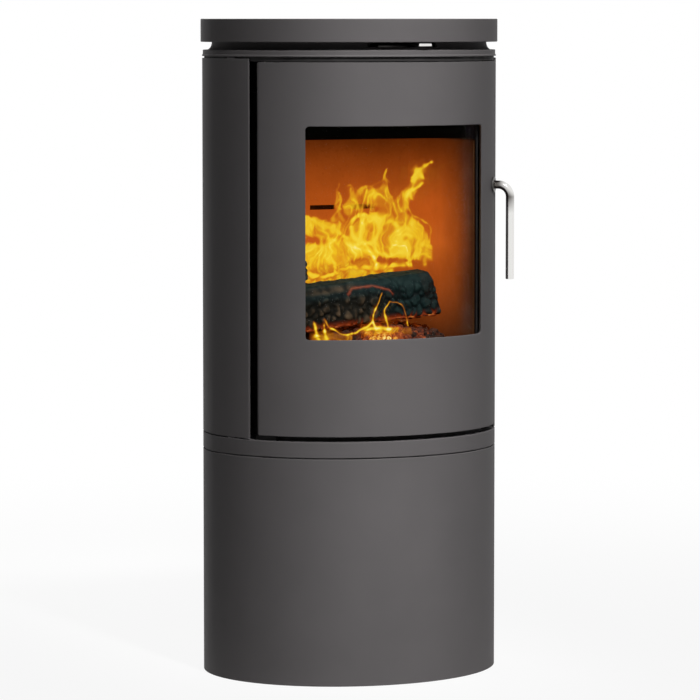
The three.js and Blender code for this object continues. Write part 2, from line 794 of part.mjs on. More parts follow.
function addHandle(latch) {
  const section = new THREE.Shape(circle(0, 0, rodRadius, rodSides));
  const rod = new THREE.ExtrudeGeometry(section, { steps: bendSteps + 2, extrudePath: new HandleLine() });
  add('handle_rod', rod, 'stainless', latch);

  const sleeve = cylinder(rodRadius + bushingWall + fit, -doorPlate - fit, bushingLift + bushingFlangeThickness);
  const flange = cylinder(
    rodRadius + bushingWall + bushingFlange, bushingLift, bushingLift + bushingFlangeThickness,
  );
  const bore = cylinder(rodRadius + fit, -2 * doorPlate, 2 * doorPlate);
  add('handle_bushing', cut(join(sleeve, flange), bore), 'steel', latch);
}

function addLatchCam(latch) {
  const back = -camDepth - camThickness;
  const nose = camReach - camHalfWidth;
  const hub = cylinder(camHubRadius, back, -camDepth);
  const lobe = block(0, -camHalfWidth, back, nose, camHalfWidth, -camDepth);
  const tip = cylinder(camHalfWidth, back, -camDepth, nose, 0);
  const bore = cylinder(rodRadius + fit, back - 1, 1 - camDepth);
  add('latch_cam', cut(join(hub, lobe, tip), bore), 'steel', latch);
}

// The keeper stands on the edge of the firebox frame and carries the roller that the cam runs against.
function addKeeper() {
  const rollerPlace = new THREE.Vector3(camReach + fit + rollerRadius, 0, -camDepth - camThickness / 2)
    .applyMatrix4(latchFrame());
  const low = handleZ - rollerHeight / 2;
  const high = handleZ + rollerHeight / 2;
  const { x, y } = rollerPlace;
  const pin = cylinder(rollerRadius / 2, low - fit - keeperSheet, high + fit + keeperSheet, x, y);
  const bore = cylinder(rollerRadius / 2 + fit, low - 1, high + 1, x, y);
  add('keeper_roller', cut(cylinder(rollerRadius, low, high, x, y), bore), 'steel');

  const rollerAngle = walk(latchAngle, camReach + fit + rollerRadius);
  const from = walk(rollerAngle, -rollerRadius);
  const to = walk(rollerAngle, rollerRadius);
  const backPlate = curvedPlate(
    frameInset, frameBackInset, walk(frameHalfAngle, fit), to, low - fit - keeperSheet, high + fit + keeperSheet,
  );
  const ears = [[low - fit - keeperSheet, low - fit], [high + fit, high + fit + keeperSheet]].map(
    ([bottom, top]) => curvedPlate(camDepth - rollerRadius / 2, frameBackInset, from, to, bottom, top),
  );
  add('latch_keeper', join(backPlate, ...ears, pin), 'steel');
}

function addLatch() {
  const latch = new THREE.Group();
  latch.applyMatrix4(latchFrame());
  stove.add(latch);
  addHandle(latch);
  addLatchCam(latch);
  addKeeper();
}

// ---------------------------------------------------------------- firebox

function addFireboxBody() {
  const mouthFrame = curvedFrame(
    frameInset, frameBackInset,
    { angle: frameHalfAngle, bottom: ringTop + fit, top: upperRingBottom - fit },
    { angle: mouthHalfAngle, bottom: hearthTop + sillRise, top: mouthTop },
  );
  const ashOpening = block(
    -ashOpeningHalfWidth, -bodyFrontDepth, ashOpeningBottom, ashOpeningHalfWidth, 0, ashOpeningTop,
  );
  add('firebox_frame', cut(mouthFrame, ashOpening), 'innerSteel');

  const behindFrame = frameBackInset + fit;
  const bottom = ringTop + fit;
  [['firebox_wall_left', -1], ['firebox_wall_right', 1]].forEach(([name, side]) => {
    const outline = [
      [wallInnerX, frontY(wallInnerX, behindFrame)],
      [wallOuterX, frontY(wallOuterX, behindFrame)],
      [wallOuterX, backWallFront - fit],
      [wallInnerX, backWallFront - fit],
    ].map(([x, y]) => new THREE.Vector2(side * x, y));
    add(name, prism(outline, bottom, roofBottom - fit), 'innerSteel');
  });
  add('firebox_wall_back', block(
    -wallOuterX, backWallFront, bottom, wallOuterX, backWallFront + wallSheet, roofBottom - fit,
  ), 'innerSteel');

  const floor = curvedFrontOutline(wallInnerX - fit, behindFrame, backWallFront - fit);
  const ashHole = block(
    grateLip - grateHalfWidth, grateFrontY + grateLip, hearthBottom - 1,
    grateHalfWidth - grateLip, grateBackY - grateLip, hearthTop + 1,
  );
  add('firebox_floor', cut(prism(floor, hearthBottom, hearthTop), ashHole), 'innerSteel');

  const roof = curvedFrontOutline(wallOuterX - fit, behindFrame, backWallFront + wallSheet);
  const slotInset = frameBackInset + airWashInset;
  const washSlot = curvedPlate(
    slotInset, slotInset + airWashSlot, -airWashHalfAngle, airWashHalfAngle, roofBottom - 1, roofTop + 1,
  );
  const flueHole = cylinder(flueRadius, roofBottom - 1, roofTop + 1, 0, flueCentreY, flueSides);
  add('firebox_roof', cut(prism(roof, roofBottom, roofTop), washSlot, flueHole), 'innerSteel');
}

function addLining() {
  const behindFrame = frameBackInset + fit;
  const bottom = hearthTop + fit;
  const top = baffleBottom - fit;
  [['brick_left', -1], ['brick_right', 1]].forEach(([name, side]) => {
    const outline = [
      [brickFaceX, frontY(brickFaceX, behindFrame)],
      [brickFaceX + brickThickness, frontY(brickFaceX + brickThickness, behindFrame)],
      [brickFaceX + brickThickness, backBrickFront - fit],
      [brickFaceX, backBrickFront - fit],
    ].map(([x, y]) => new THREE.Vector2(side * x, y));
    add(name, prism(outline, bottom, top), 'refractory');
  });

  const backBrick = block(
    fit - wallInnerX, backBrickFront, bottom, wallInnerX - fit, backWallFront - fit, top,
  );
  const slotZ = windowBottom + airSlotRise;
  const airSlots = Array.from({ length: airSlotCount }, (_, i) => {
    const x = (i - (airSlotCount - 1) / 2) * airSlotPitch;
    return block(
      x - airSlotWidth / 2, backBrickFront - 1, slotZ - airSlotHeight / 2,
      x + airSlotWidth / 2, backWallFront, slotZ + airSlotHeight / 2,
    );
  });
  add('brick_back', cut(backBrick, ...airSlots), 'refractory');

  const guardBack = guardInset + logGuardSheet + fit;
  const halfHearth = brickFaceX - fit;
  [['hearth_brick_left', -1], ['hearth_brick_right', 1]].forEach(([name, side]) => {
    const outline = [
      ...arc(angleAtX(fit / 2, guardBack), angleAtX(halfHearth, guardBack), guardBack),
      new THREE.Vector2(halfHearth, backBrickFront - fit),
      new THREE.Vector2(fit / 2, backBrickFront - fit),
      new THREE.Vector2(fit / 2, grateBackY + fit),
      new THREE.Vector2(grateHalfWidth + fit, grateBackY + fit),
      new THREE.Vector2(grateHalfWidth + fit, grateFrontY - fit),
      new THREE.Vector2(fit / 2, grateFrontY - fit),
    ].map((p) => new THREE.Vector2(side * p.x, p.y));
    add(name, prism(outline, bottom, bottom + hearthBrickThickness), 'refractory');
  });

  add('baffle_plate', block(
    fit - wallInnerX, frontY(0, frameBackInset) + baffleFrontGap, baffleBottom,
    wallInnerX - fit, backWallFront - fit, baffleBottom + baffleThickness,
  ), 'refractory');
}

function addGrateAndGuard() {
  const bottom = hearthTop + fit;
  const slotPitch = (2 * (grateHalfWidth - grateLip)) / grateSlotCount;
  const slots = Array.from({ length: grateSlotCount }, (_, i) => {
    const left = grateLip - grateHalfWidth + i * slotPitch + grateBar / 2;
    return block(
      left, grateFrontY + 2 * grateLip, bottom - 1,
      left + slotPitch - grateBar, grateBackY - 2 * grateLip, bottom + grateThickness + 1,
    );
  });
  const plate = block(-grateHalfWidth, grateFrontY, bottom, grateHalfWidth, grateBackY, bottom + grateThickness);
  add('grate', cut(plate, ...slots), 'castIron');

  const guardEdge = angleAtX(brickFaceX - fit, guardInset);
  add('log_guard', curvedPlate(
    guardInset, guardInset + logGuardSheet, -guardEdge, guardEdge, bottom, bottom + logGuardHeight,
  ), 'castIron');
}

// ---------------------------------------------------------------- ash pan

function addAshPan() {
  const shelf = curvedFrontOutline(wallInnerX - fit, frameBackInset + fit, backWallFront - fit);
  add('ash_shelf', prism(shelf, ashShelfTop - ashShelfSheet, ashShelfTop), 'innerSteel');

  const halfWidth = ashOpeningHalfWidth - ashPanSideGap;
  const front = frontY(0, frameBackInset) + ashPanSetback;
  const back = front + ashPanLength;
  const bottom = ashShelfTop + fit;
  const top = ashOpeningTop - ashPanTopGap;
  const box = block(-halfWidth, front, bottom, halfWidth, back, top);
  const hollow = block(
    ashPanSheet - halfWidth, front + ashPanSheet, bottom + ashPanSheet,
    halfWidth - ashPanSheet, back - ashPanSheet, top + 1,
  );
  const lip = block(
    -ashHandleHalfWidth, front - ashHandleReach, top - ashHandleSheet, ashHandleHalfWidth, front + 1, top,
  );
  const turnDown = block(
    -ashHandleHalfWidth, front - ashHandleReach, top - ashHandleDrop,
    ashHandleHalfWidth, front - ashHandleReach + ashHandleSheet, top,
  );
  add('ash_pan', join(cut(box, hollow), lip, turnDown), 'innerSteel');
}

// ---------------------------------------------------------------- flue and air control

function addFlueCollar() {
  const bottom = roofTop + fit;
  const top = topPlateTop - flueBelowTop;
  add('flue_collar', prism(
    circle(0, flueCentreY, flueRadius + flueWall, flueSides), bottom, top,
    [circle(0, flueCentreY, flueRadius, flueSides)],
  ), 'innerSteel');
}

// Slots through the damper, or through the box under it, about straight ahead of the pivot.
function damperSlots(centreY) {
  return Array.from({ length: damperSlotCount }, (_, i) => {
    const middle = (i - (damperSlotCount - 1) / 2) * damperSlotPitch;
    return sector(
      centreY, damperInnerRadius + damperSlotMargin, damperOuterRadius - damperSlotMargin,
      middle - damperSlotSpan / 2, middle + damperSlotSpan / 2,
    );
  });
}

function addAirBox() {
  const inset = upperDeckInset + fit;
  const outer = curvedFrontOutline(airBoxHalfWidth, inset, airBoxBackY);
  const inner = curvedFrontOutline(airBoxHalfWidth - airBoxSheet, inset + airBoxSheet, airBoxBackY - airBoxSheet);
  const bottom = roofTop + fit;
  const boxFloor = airBoxTop - airBoxSheet;
  const shell = cut(prism(outer, bottom, airBoxTop), prism(inner, bottom - 1, boxFloor));
  const slots = damperSlots(airPivotY).map((slot) => prism(slot, boxFloor - 1, airBoxTop + 1));
  const pivotHole = cylinder(pivotRadius + fit, boxFloor - 1, airBoxTop + 1, 0, airPivotY);
  add('air_box', cut(shell, ...slots, pivotHole), 'innerSteel');

  const shank = cylinder(pivotRadius, pivotHeadTop - pivotLength, pivotHeadTop, 0, airPivotY);
  const head = cylinder(pivotHeadRadius, pivotHeadTop - pivotHeadHeight, pivotHeadTop, 0, airPivotY);
  add('air_pivot_bolt', join(shank, head), 'steel');
}

function addAirLever() {
  const lever = new THREE.Group();
  lever.position.set(0, airPivotY, 0);
  lever.rotation.z = radians(leverRest);
  stove.add(lever);

  const pivotHole = cylinder(pivotRadius + fit, damperBottom - 1, leverTop + 1);
  const spoke = block(-leverHalfWidth, -damperInnerRadius - 1, damperBottom, leverHalfWidth, 0, damperTop);
  const hub = cylinder(damperHubRadius, damperBottom, damperTop);
  const fan = prism(
    sector(0, damperInnerRadius, damperOuterRadius, -damperHalfAngle, damperHalfAngle), damperBottom, damperTop,
  );
  const slots = damperSlots(0).map((slot) => prism(slot, damperBottom - 1, damperTop + 1));
  add('air_damper', cut(join(fan, spoke, hub), ...slots, pivotHole), 'steel', lever);

  const reach = leverReach();
  const armEnd = -(reach - tabLength + tabSocket - fit);
  const arm = block(-leverHalfWidth, armEnd, leverBottom, leverHalfWidth, 0, leverTop);
  const eye = cylinder(damperHubRadius, leverBottom, leverTop);
  add('air_lever', cut(join(arm, eye), pivotHole), 'steel', lever);

  const middle = (leverBottom + leverTop) / 2;
  const tab = block(
    -tabHalfWidth, -reach, middle - tabThickness / 2, tabHalfWidth, tabLength - reach, middle + tabThickness / 2,
  );
  const socket = block(
    -leverHalfWidth - fit, tabLength - tabSocket - reach, leverBottom - fit,
    leverHalfWidth + fit, tabLength - reach + 1, leverTop + fit,
  );
  add('air_lever_tab', cut(tab, socket), 'stainless', lever);
}

// ---------------------------------------------------------------- fuel

function addFuel() {
  const hearthFront = frontY(0, guardInset + logGuardSheet + fit);
  const hearthDepth = backBrickFront - hearthFront;
  const emberBottom = hearthTop + hearthBrickThickness + 2 * fit;
  const dome = [[0, 0], [1, 0], [1, 0.15], [0.85, 0.55], [0.5, 0.9], [0, 1]];
  const bed = new THREE.LatheGeometry(dome.map(([r, h]) => new THREE.Vector2(r, h)), 24)
    .rotateX(radians(90))
    .scale(brickFaceX - emberMargin, (emberDepthShare * hearthDepth) / 2, emberHeight)
    .translate(0, hearthFront + emberMiddleShare * hearthDepth, emberBottom);
  add('ember_bed', bed, 'ember');

  // the section of a split log, in log thicknesses across and up
  const splitLog = [
    [-0.47, -0.42], [-0.2, -0.5], [0.4, -0.5], [0.47, -0.1], [0.43, 0.4], [0.2, 0.5], [-0.3, 0.47], [-0.46, 0.2],
  ];
  const splitHalf = 0.47, splitHalfHeight = 0.5;
  fuelLogs.forEach(({ name, length, girth, along, behind, toBrick, rise, turn, tilt }) => {
    const section = splitLog.map(([y, z]) => new THREE.Vector2(y * girth * logThickness, z * girth * logThickness));
    const half = length * brickFaceX;
    // a log either lies at its share of the hearth's depth or leans its far end towards the back brick
    const alongReach = half * Math.cos(radians(tilt)) + splitHalfHeight * girth * logThickness * Math.sin(radians(Math.abs(tilt)));
    const reach = alongReach * Math.sin(radians(turn)) + splitHalf * girth * logThickness * Math.cos(radians(turn));
    const y = toBrick ? backBrickFront - toBrick - reach : hearthFront + behind * hearthDepth;
    const log = prism(section, -half, half).rotateY(radians(90)).rotateX(radians(90));
    const mesh = add(name, log, 'char');
    mesh.position.set(along * 2 * brickFaceX, y, emberBottom + emberHeight + rise * logThickness);
    mesh.rotation.set(0, radians(tilt), radians(turn), 'ZYX');
  });
}

// ---------------------------------------------------------------- the whole stove

addBaseShell();
addBaseBackPanel();
addBaseFloor();
addBaseFrame();
addMiddleRing();
addUpperRing();
addTopPlate();
addSidePanels();
addBackPanel();
addDoorPlate();
addGlazing();
addRopeSeal();
addHinges();
addLatch();
addFireboxBody();
addLining();
addGrateAndGuard();
addAshPan();
addFlueCollar();
addAirBox();
addAirLever();
addFuel();

export default stove;
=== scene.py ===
"""Looks of an oval wood stove: fine surfaces, finishes, the fire behind the glass, light and camera.

Sizes are written in millimetres, as the stove is drawn, and become metres where a mesh is made.
+Z is up and the door faces -Y. Angles of the plan are in degrees from the front towards +X.
"""
import json
from math import acos, asin, copysign, cos, degrees, exp, hypot, pi, radians, sin, sqrt, tan

import bmesh
import bpy
import numpy as np
from mathutils import Matrix, Vector, noise

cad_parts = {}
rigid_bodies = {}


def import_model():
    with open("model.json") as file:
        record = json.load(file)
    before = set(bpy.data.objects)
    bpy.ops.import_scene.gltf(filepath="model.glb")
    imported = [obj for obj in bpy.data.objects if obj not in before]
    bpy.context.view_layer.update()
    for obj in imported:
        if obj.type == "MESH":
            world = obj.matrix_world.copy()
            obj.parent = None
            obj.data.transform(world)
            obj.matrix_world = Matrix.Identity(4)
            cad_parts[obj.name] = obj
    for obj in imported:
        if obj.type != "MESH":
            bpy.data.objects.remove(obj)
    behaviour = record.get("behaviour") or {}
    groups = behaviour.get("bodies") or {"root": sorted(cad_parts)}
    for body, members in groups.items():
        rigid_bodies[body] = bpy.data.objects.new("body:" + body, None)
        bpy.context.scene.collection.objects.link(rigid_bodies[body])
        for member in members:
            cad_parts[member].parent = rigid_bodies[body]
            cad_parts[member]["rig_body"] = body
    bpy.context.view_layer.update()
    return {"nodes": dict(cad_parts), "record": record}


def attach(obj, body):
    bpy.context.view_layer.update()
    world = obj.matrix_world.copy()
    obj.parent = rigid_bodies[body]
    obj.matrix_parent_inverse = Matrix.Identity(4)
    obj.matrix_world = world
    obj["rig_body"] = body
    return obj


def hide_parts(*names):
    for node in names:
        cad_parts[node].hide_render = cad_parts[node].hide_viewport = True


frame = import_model()
nodes = frame["nodes"]
scene = bpy.context.scene
SWIRL = 1795578236      # the seed of the noise that bends the flames and the logs' cracks
noise.seed_set(SWIRL)

# ---- sizes, as in the solids

MM = 0.001
HALF_WIDTH, FRONT_DEPTH, BACK_Y = 250, 217, 165   # the oval plan and its flat back
FIT = 0.3
SHEET, DOOR_SHEET = 3, 5
BASE_TOP, RING_LOW, RING_TOP = 372, 373.7, 399.9
DOOR_LOW, DOOR_TOP = 408, 1013.5
WINDOW_LOW, WINDOW_TOP = 565.5, 910.5
DOOR_CORNER, WINDOW_CORNER = 1.5, 6
BAND_LOW, LEDGE, NECK_TOP = 1022, 1032.5, 1045.2      # the levels of the upper ring
TOP_LOW, TOP_HIGH = 1045.5, 1083.5
DUCT_RADIUS = 48
FLUE_HOLE, FLUE_Y = 78.3, 45
AIR_PIVOT_Y, LEVER_REACH, TAB_HALF = -75, 142, 13.5
EMBER_LOW, EMBER_TOP = 541.1, 573.1


def oval(angle, inset=0):
    """A point of the plan, with the inset measured inwards."""
    turn = radians(angle)
    return (HALF_WIDTH - inset) * sin(turn), -(FRONT_DEPTH - inset) * cos(turn)


def walk(angle, distance):
    """The angle reached from another one by a distance along the oval."""
    turn = radians(angle)
    return angle + degrees(distance / hypot(HALF_WIDTH * cos(turn), FRONT_DEPTH * sin(turn)))


def front_y(x, inset):
    return -(FRONT_DEPTH - inset) * sqrt(max(0, 1 - (x / (HALF_WIDTH - inset)) ** 2))


def corner_angle(inset):
    return degrees(acos(-(BACK_Y - inset) / (FRONT_DEPTH - inset)))


# from the middle of the door outwards: window, pane, clip, rope channel, latch, slot and side panel
WINDOW_X = oval(39.8)[0]
PANE_OVERLAP, PANE_INSET, PANE = 10, 7.3, 4
PANE_EDGE = degrees(asin((WINDOW_X + PANE_OVERLAP) / (HALF_WIDTH - PANE_INSET)))
CHANNEL_START = walk(walk(walk(PANE_EDGE, FIT), 8), 1.2)
CHANNEL_END = walk(CHANNEL_START, 15.1)
LATCH, HANDLE_Z = walk(CHANNEL_END, 16), 809.2
DOOR_EDGE = walk(LATCH, 24)
PANEL_START = walk(DOOR_EDGE, 18)

# ---- mesh helpers

FRONT_STEPS, BACK_STEPS = 180, 24
MERGE = 1e-6    # metres


def settle(name, mesh, slot, body="stove_body", material=None):
    """Put a mesh in the scene as a piece of a body."""
    obj = bpy.data.objects.new(name, mesh)
    scene.collection.objects.link(obj)
    mesh.materials.append(material or FINISHES[slot])
    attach(obj, body)
    return obj


def smooth_piece(name, points, faces, slot, body="stove_body", material=None):
    mesh = bpy.data.meshes.new(name)
    mesh.from_pydata([(x * MM, y * MM, z * MM) for x, y, z in points], [], faces)
    mesh.update()
    mesh.polygons.foreach_set("use_smooth", [True] * len(mesh.polygons))
    return settle(name, mesh, slot, body, material)


def crease(mesh, sharp=32):
    """Turn the faces outwards, with sharp edges where they turn by more than an angle."""
    mesh.validate()
    work = bmesh.new()
    work.from_mesh(mesh)
    bmesh.ops.remove_doubles(work, verts=work.verts, dist=MERGE)
    bmesh.ops.recalc_face_normals(work, faces=work.faces)
    for edge in work.edges:
        edge.smooth = len(edge.link_faces) != 2 or degrees(edge.calc_face_angle(0)) < sharp
    work.to_mesh(mesh)
    work.free()


def part(name, shape, node, sharp=32):
    """A fine surface that stands for one solid, with that solid's body and finish."""
    made = smooth_piece(name, *shape, slot_of[node], nodes[node]["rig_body"])
    crease(made.data, sharp)
    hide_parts(node)
    return made


def skin(loops, around=True, through=True):
    """Quads between loops of points: around closes each loop, through joins the last to the first."""
    points = [p for loop in loops for p in loop]
    count = len(loops[0])
    faces = []
    for k in range(len(loops) if through else len(loops) - 1):
        low, high = k * count, ((k + 1) % len(loops)) * count
        for i in range(count if around else count - 1):
            j = (i + 1) % count
            faces.append((low + i, low + j, high + j, high + i))
    if through and not around:
        rows = range(0, len(points), count)
        faces += [list(rows), [k + count - 1 for k in rows][::-1]]
    if around and not through:
        faces += [list(range(count))[::-1], list(range(len(points) - count, len(points)))]
    return points, faces


def softened(corners, closed=True, steps=4):
    """A profile from (s, z, radius) corners: each is rounded, with a support point on either side."""
    out = []
    for i, (s, z, wanted) in enumerate(corners):
        here = Vector((s, z))
        if wanted <= 0 or (not closed and i in (0, len(corners) - 1)):
            out.append((s, z))
            continue
        before = Vector(corners[i - 1][:2]) - here
        after = Vector(corners[(i + 1) % len(corners)][:2]) - here
        u, v = before.normalized(), after.normalized()
        half = acos(max(-1, min(1, u.dot(v)))) / 2
        reach = min(wanted / tan(half), 0.49 * before.length, 0.49 * after.length)
        radius = reach * tan(half)
        centre = here + (u + v).normalized() * (radius / sin(half))
        if before.length > reach * 2.5:
            out.append(tuple(here + u * reach * 1.45))
        first, last = here + u * reach - centre, here + v * reach - centre
        angle = pi - 2 * half
        for k in range(steps + 1):
            share = k / steps
            spoke = (sin((1 - share) * angle) * first + sin(share * angle) * last) / sin(angle)
            out.append(tuple(centre + spoke))
        if after.length > reach * 2.5:
            out.append(tuple(here + v * reach * 1.45))
    return out


def circle(count):
    """(cosine, sine) pairs round a circle."""
    return [(cos(2 * pi * i / count), sin(2 * pi * i / count)) for i in range(count)]


def quarter(steps):
    """(sine, cosine) pairs through a right angle."""
    return [(sin(radians(90 * i / steps)), cos(radians(90 * i / steps))) for i in range(steps + 1)]


def oval_run(start, end, steps, inset, z):
    """Points along the oval at one level."""
    return [(*oval(start + (end - start) * i / steps, inset), z) for i in range(steps + 1)]


def flat_back(run, steps, z):
    (x0, y0, _), (x1, _, _) = run[-1], run[0]
    return [(x0 + (x1 - x0) * i / steps, y0, z) for i in range(1, steps)]


def body_loops(profile):
    """The closed outline of the body at each (inset, z) of a profile."""
    loops = []
    for inset, z in profile:
        corner = corner_angle(inset)
        run = oval_run(-corner, corner, FRONT_STEPS, inset, z)
        loops.append(run + flat_back(run, BACK_STEPS, z))
    return loops


def round_loops(profile, centre_y, like):
    """A circle at each (radius, z) of a profile, point for point opposite another loop."""
    spokes = [Vector((x, y - centre_y)).normalized() for x, y, _ in like]
    return [[(s.x * radius, s.y * radius + centre_y, z) for s in spokes] for radius, z in profile]


def strip(profile, start, end, steps):
    return skin([oval_run(start, end, steps, inset, z) for inset, z in profile], around=False)


def side_name(side):
    return "left" if side < 0 else "right"


# ---- materials


class Finish:
    """A node material built step by step round one Principled shader."""

    def __init__(self, name, color, roughness, metallic=0, specular=0.5, glow=0, **fixed):
        self.material = bpy.data.materials.new(name)
        self.material.use_nodes = True
        self.tree = self.material.node_tree
        self.shader = self.tree.nodes["Principled BSDF"]
        fixed.update(Base_Color=(*color, 1), Roughness=roughness, Metallic=metallic)
        fixed.update(Specular_IOR_Level=specular, Emission_Strength=glow)
        for key, value in fixed.items():
            self.shader.inputs[key.replace("_", " ")].default_value = value
        self.coords = self.tree.nodes.new("ShaderNodeTexCoord")

    def node(self, kind, **values):
        made = self.tree.nodes.new("ShaderNode" + kind)
        for key, value in values.items():
            if key in made.bl_rna.properties:
                setattr(made, key, value)
            else:
                made.inputs[key.replace("_", " ")].default_value = value
        return made

    def link(self, source, target):
        self.tree.links.new(source, target)

    def fill(self, socket, value):
        if isinstance(value, bpy.types.NodeSocket):
            self.link(value, socket)
        else:
            socket.default_value = (*value, 1) if isinstance(value, tuple) else value

    def noise(self, scale, detail=4, rough=0.55, stretch=(1, 1, 1)):
        mapping = self.node("Mapping")
        mapping.inputs["Scale"].default_value = stretch
        self.link(self.coords.outputs["Object"], mapping.inputs["Vector"])
        made = self.node("TexNoise", Scale=scale, Detail=detail, Roughness=rough)
        self.link(mapping.outputs["Vector"], made.inputs["Vector"])
        return made.outputs["Fac"]

    def ramp(self, source, stops):
        made = self.node("ValToRGB")
        elements = made.color_ramp.elements
        while len(elements) < len(stops):
            elements.new(0.5)
        for element, (at, value) in zip(elements, stops):
            element.position = at
            element.color = (*value, 1) if isinstance(value, tuple) else (value, value, value, 1)
        self.link(source, made.inputs["Fac"])
        return made.outputs["Color"]

    def mix(self, a, b, factor):
        made = self.node("Mix", data_type="RGBA")
        for socket, value in ((made.inputs[0], factor), (made.inputs[6], a), (made.inputs[7], b)):
            self.fill(socket, value)
        return made.outputs[2]

    def math(self, kind, *terms):
        made = self.node("Math", operation=kind)
        for socket, value in zip(made.inputs, terms):
            self.fill(socket, value)
        return made.outputs[0]

    def attribute(self, name):
        return self.node("Attribute", attribute_name=name).outputs["Fac"]

    def bump(self, *layers):
        """Layers of (height socket, strength, distance in metres)."""
        normal = None
        for height, strength, distance in layers:
            made = self.node("Bump", Strength=strength, Distance=distance)
            self.link(height, made.inputs["Height"])
            if normal is not None:
                self.link(normal, made.inputs["Normal"])
            normal = made.outputs["Normal"]
        self.link(normal, self.shader.inputs["Normal"])

    def set(self, socket, source):
        self.link(source, self.shader.inputs[socket])


BLACK = (0, 0, 0)


def paint():
    """Matt sprayed paint: orange peel, faint clouding and rare lighter specks."""
    dark, light, speck, roughness = (0.0895, 0.084, 0.0855), (0.0995, 0.093, 0.0945), (0.16, 0.16, 0.158), 0.6
    f = Finish("casing_paint", light, roughness, specular=0.09)
    cloud = f.noise(7, 3)
    grain = f.noise(1600, 2, 0.6)
    specks = f.ramp(grain, [(0.66, 0), (0.8, 0.35)])
    f.set("Base Color", f.mix(f.ramp(cloud, [(0.3, dark), (0.7, light)]), speck, specks))
    f.set("Roughness", f.math("MULTIPLY_ADD", cloud, 0.1, roughness - 0.05))
    f.bump((grain, 0.16, 0.0002), (f.noise(420, 3), 0.06, 0.0004))
    return f.material


def dark_steel():
    """Black painted steel with soot on it."""
    tone, soot = (0.014, 0.013, 0.013), (0.0368, 0.0346, 0.0346)
    f = Finish("firebox_steel", tone, 0.75, 0.2, specular=0.15)
    f.set("Base Color", f.mix(tone, soot, f.noise(22, 6, 0.6)))
    f.set("Roughness", f.ramp(f.noise(60, 3), [(0.3, 0.62), (0.7, 0.9)]))
    f.bump((f.noise(700, 3), 0.25, 0.0003))
    return f.material


def cast_iron():
    f = Finish("cast_iron", (0.022, 0.021, 0.02), 0.8, 0.4)
    f.set("Base Color", f.ramp(f.noise(40, 5), [(0.3, (0.012, 0.011, 0.011)), (0.75, (0.045, 0.04, 0.037))]))
    f.bump((f.noise(320, 4, 0.7), 0.6, 0.0006))
    return f.material


def polished():
    """Polished steel with faint drawn lines, darker where a vertex value says so."""
    bright, blackened, roughness = (0.8, 0.79, 0.77), (0.11, 0.1, 0.092), 0.1
    f = Finish("polished_steel", bright, roughness, 1)
    f.set("Base Color", f.mix(bright, blackened, f.attribute("blackened")))
    lines = f.noise(900, 2, 0.5, (1, 1, 0.03))
    f.set("Roughness", f.math("MULTIPLY_ADD", lines, 0.1, roughness - 0.04))
    f.bump((lines, 0.03, 0.0001))
    return f.material


def plain_steel():
    f = Finish("bright_steel", (0.11, 0.105, 0.1), 0.38, 1)
    f.set("Roughness", f.ramp(f.noise(120, 4), [(0.3, 0.3), (0.7, 0.5)]))
    f.bump((f.noise(900, 2, 0.5, (1, 1, 0.2)), 0.08, 0.0002))
    return f.material


def rope_weave():
    f = Finish("seal_rope", (0.08, 0.078, 0.074), 0.95)
    cells = f.node("TexVoronoi", Scale=520)
    f.link(f.coords.outputs["Object"], cells.inputs["Vector"])
    distance = cells.outputs["Distance"]
    f.set("Base Color", f.ramp(distance, [(0, (0.13, 0.125, 0.118)), (0.6, (0.035, 0.034, 0.032))]))
    f.bump((distance, 0.8, 0.0008))
    return f.material


def firebrick():
    """Pressed board with painted firelight: its emission stands for the fire's light on it, most in the
    middle and least by the door and the roof.
    """
    f = Finish("firebrick", (0.1, 0.045, 0.018), 0.95, specular=0, glow=1)
    pores = f.noise(240, 5, 0.65)
    stains = f.noise(11, 5, 0.6)
    place = f.node("SeparateXYZ")
    f.link(f.coords.outputs["Object"], place.inputs[0])
    # both run from 0 to 1: the height from 0.5 to 0.9 m, and the depth from the door to the back brick
    height = f.math("MULTIPLY_ADD", place.outputs["Z"], 2.5, -1.25)
    depth = f.math("MULTIPLY_ADD", place.outputs["Y"], 5.88, 1)
    # painted firelight: the fire's light on the board is painted as an emission that peaks in the middle of
    # its height and grows towards the back
    firelight_by_height = f.ramp(height, [(0.13, 0.1), (0.22, 0.3), (0.35, 0.6), (0.52, 1), (0.7, 0.84), (0.82, 0.52),
        (0.93, 0.22), (0.955, 0.17), (0.962, 0)])
    firelight_by_depth = f.ramp(depth, [(0.08, 0), (0.16, 0.02), (0.25, 0.12), (0.36, 0.28), (0.55, 0.66), (0.86, 1)])
    mottle = f.math("MULTIPLY_ADD", stains, 0.5, 0.75)
    level = f.math("MULTIPLY", f.math("MULTIPLY", firelight_by_height, firelight_by_depth), mottle)
    sooty = f.ramp(height, [(0.957, 0), (0.964, 1)])
    board = f.mix(f.ramp(stains, [(0.3, (0.08, 0.034, 0.013)), (0.7, (0.14, 0.062, 0.025))]),
            (0.02, 0.012, 0.008), f.ramp(pores, [(0.3, 0.6), (0.45, 0)]))
    f.set("Base Color", f.mix(board, (0.014, 0.015, 0.012), sooty))
    # the painted firelight goes into the board's emission
    f.set("Emission Color", f.mix(BLACK, (0.47, 0.085, 0.009), level))
    f.bump((pores, 0.5, 0.0006), (f.noise(40, 3), 0.2, 0.001))
    return f.material


def glass():
    """Clear ceramic glass, very faintly smoked in patches."""
    f = Finish("window_glass", (0.9, 0.87, 0.82), 0.03, Transmission_Weight=1, IOR=1.2)
    f.set("Alpha", f.ramp(f.noise(14, 4, 0.6), [(0.35, 0.01), (0.75, 0.025)]))
    return f.material


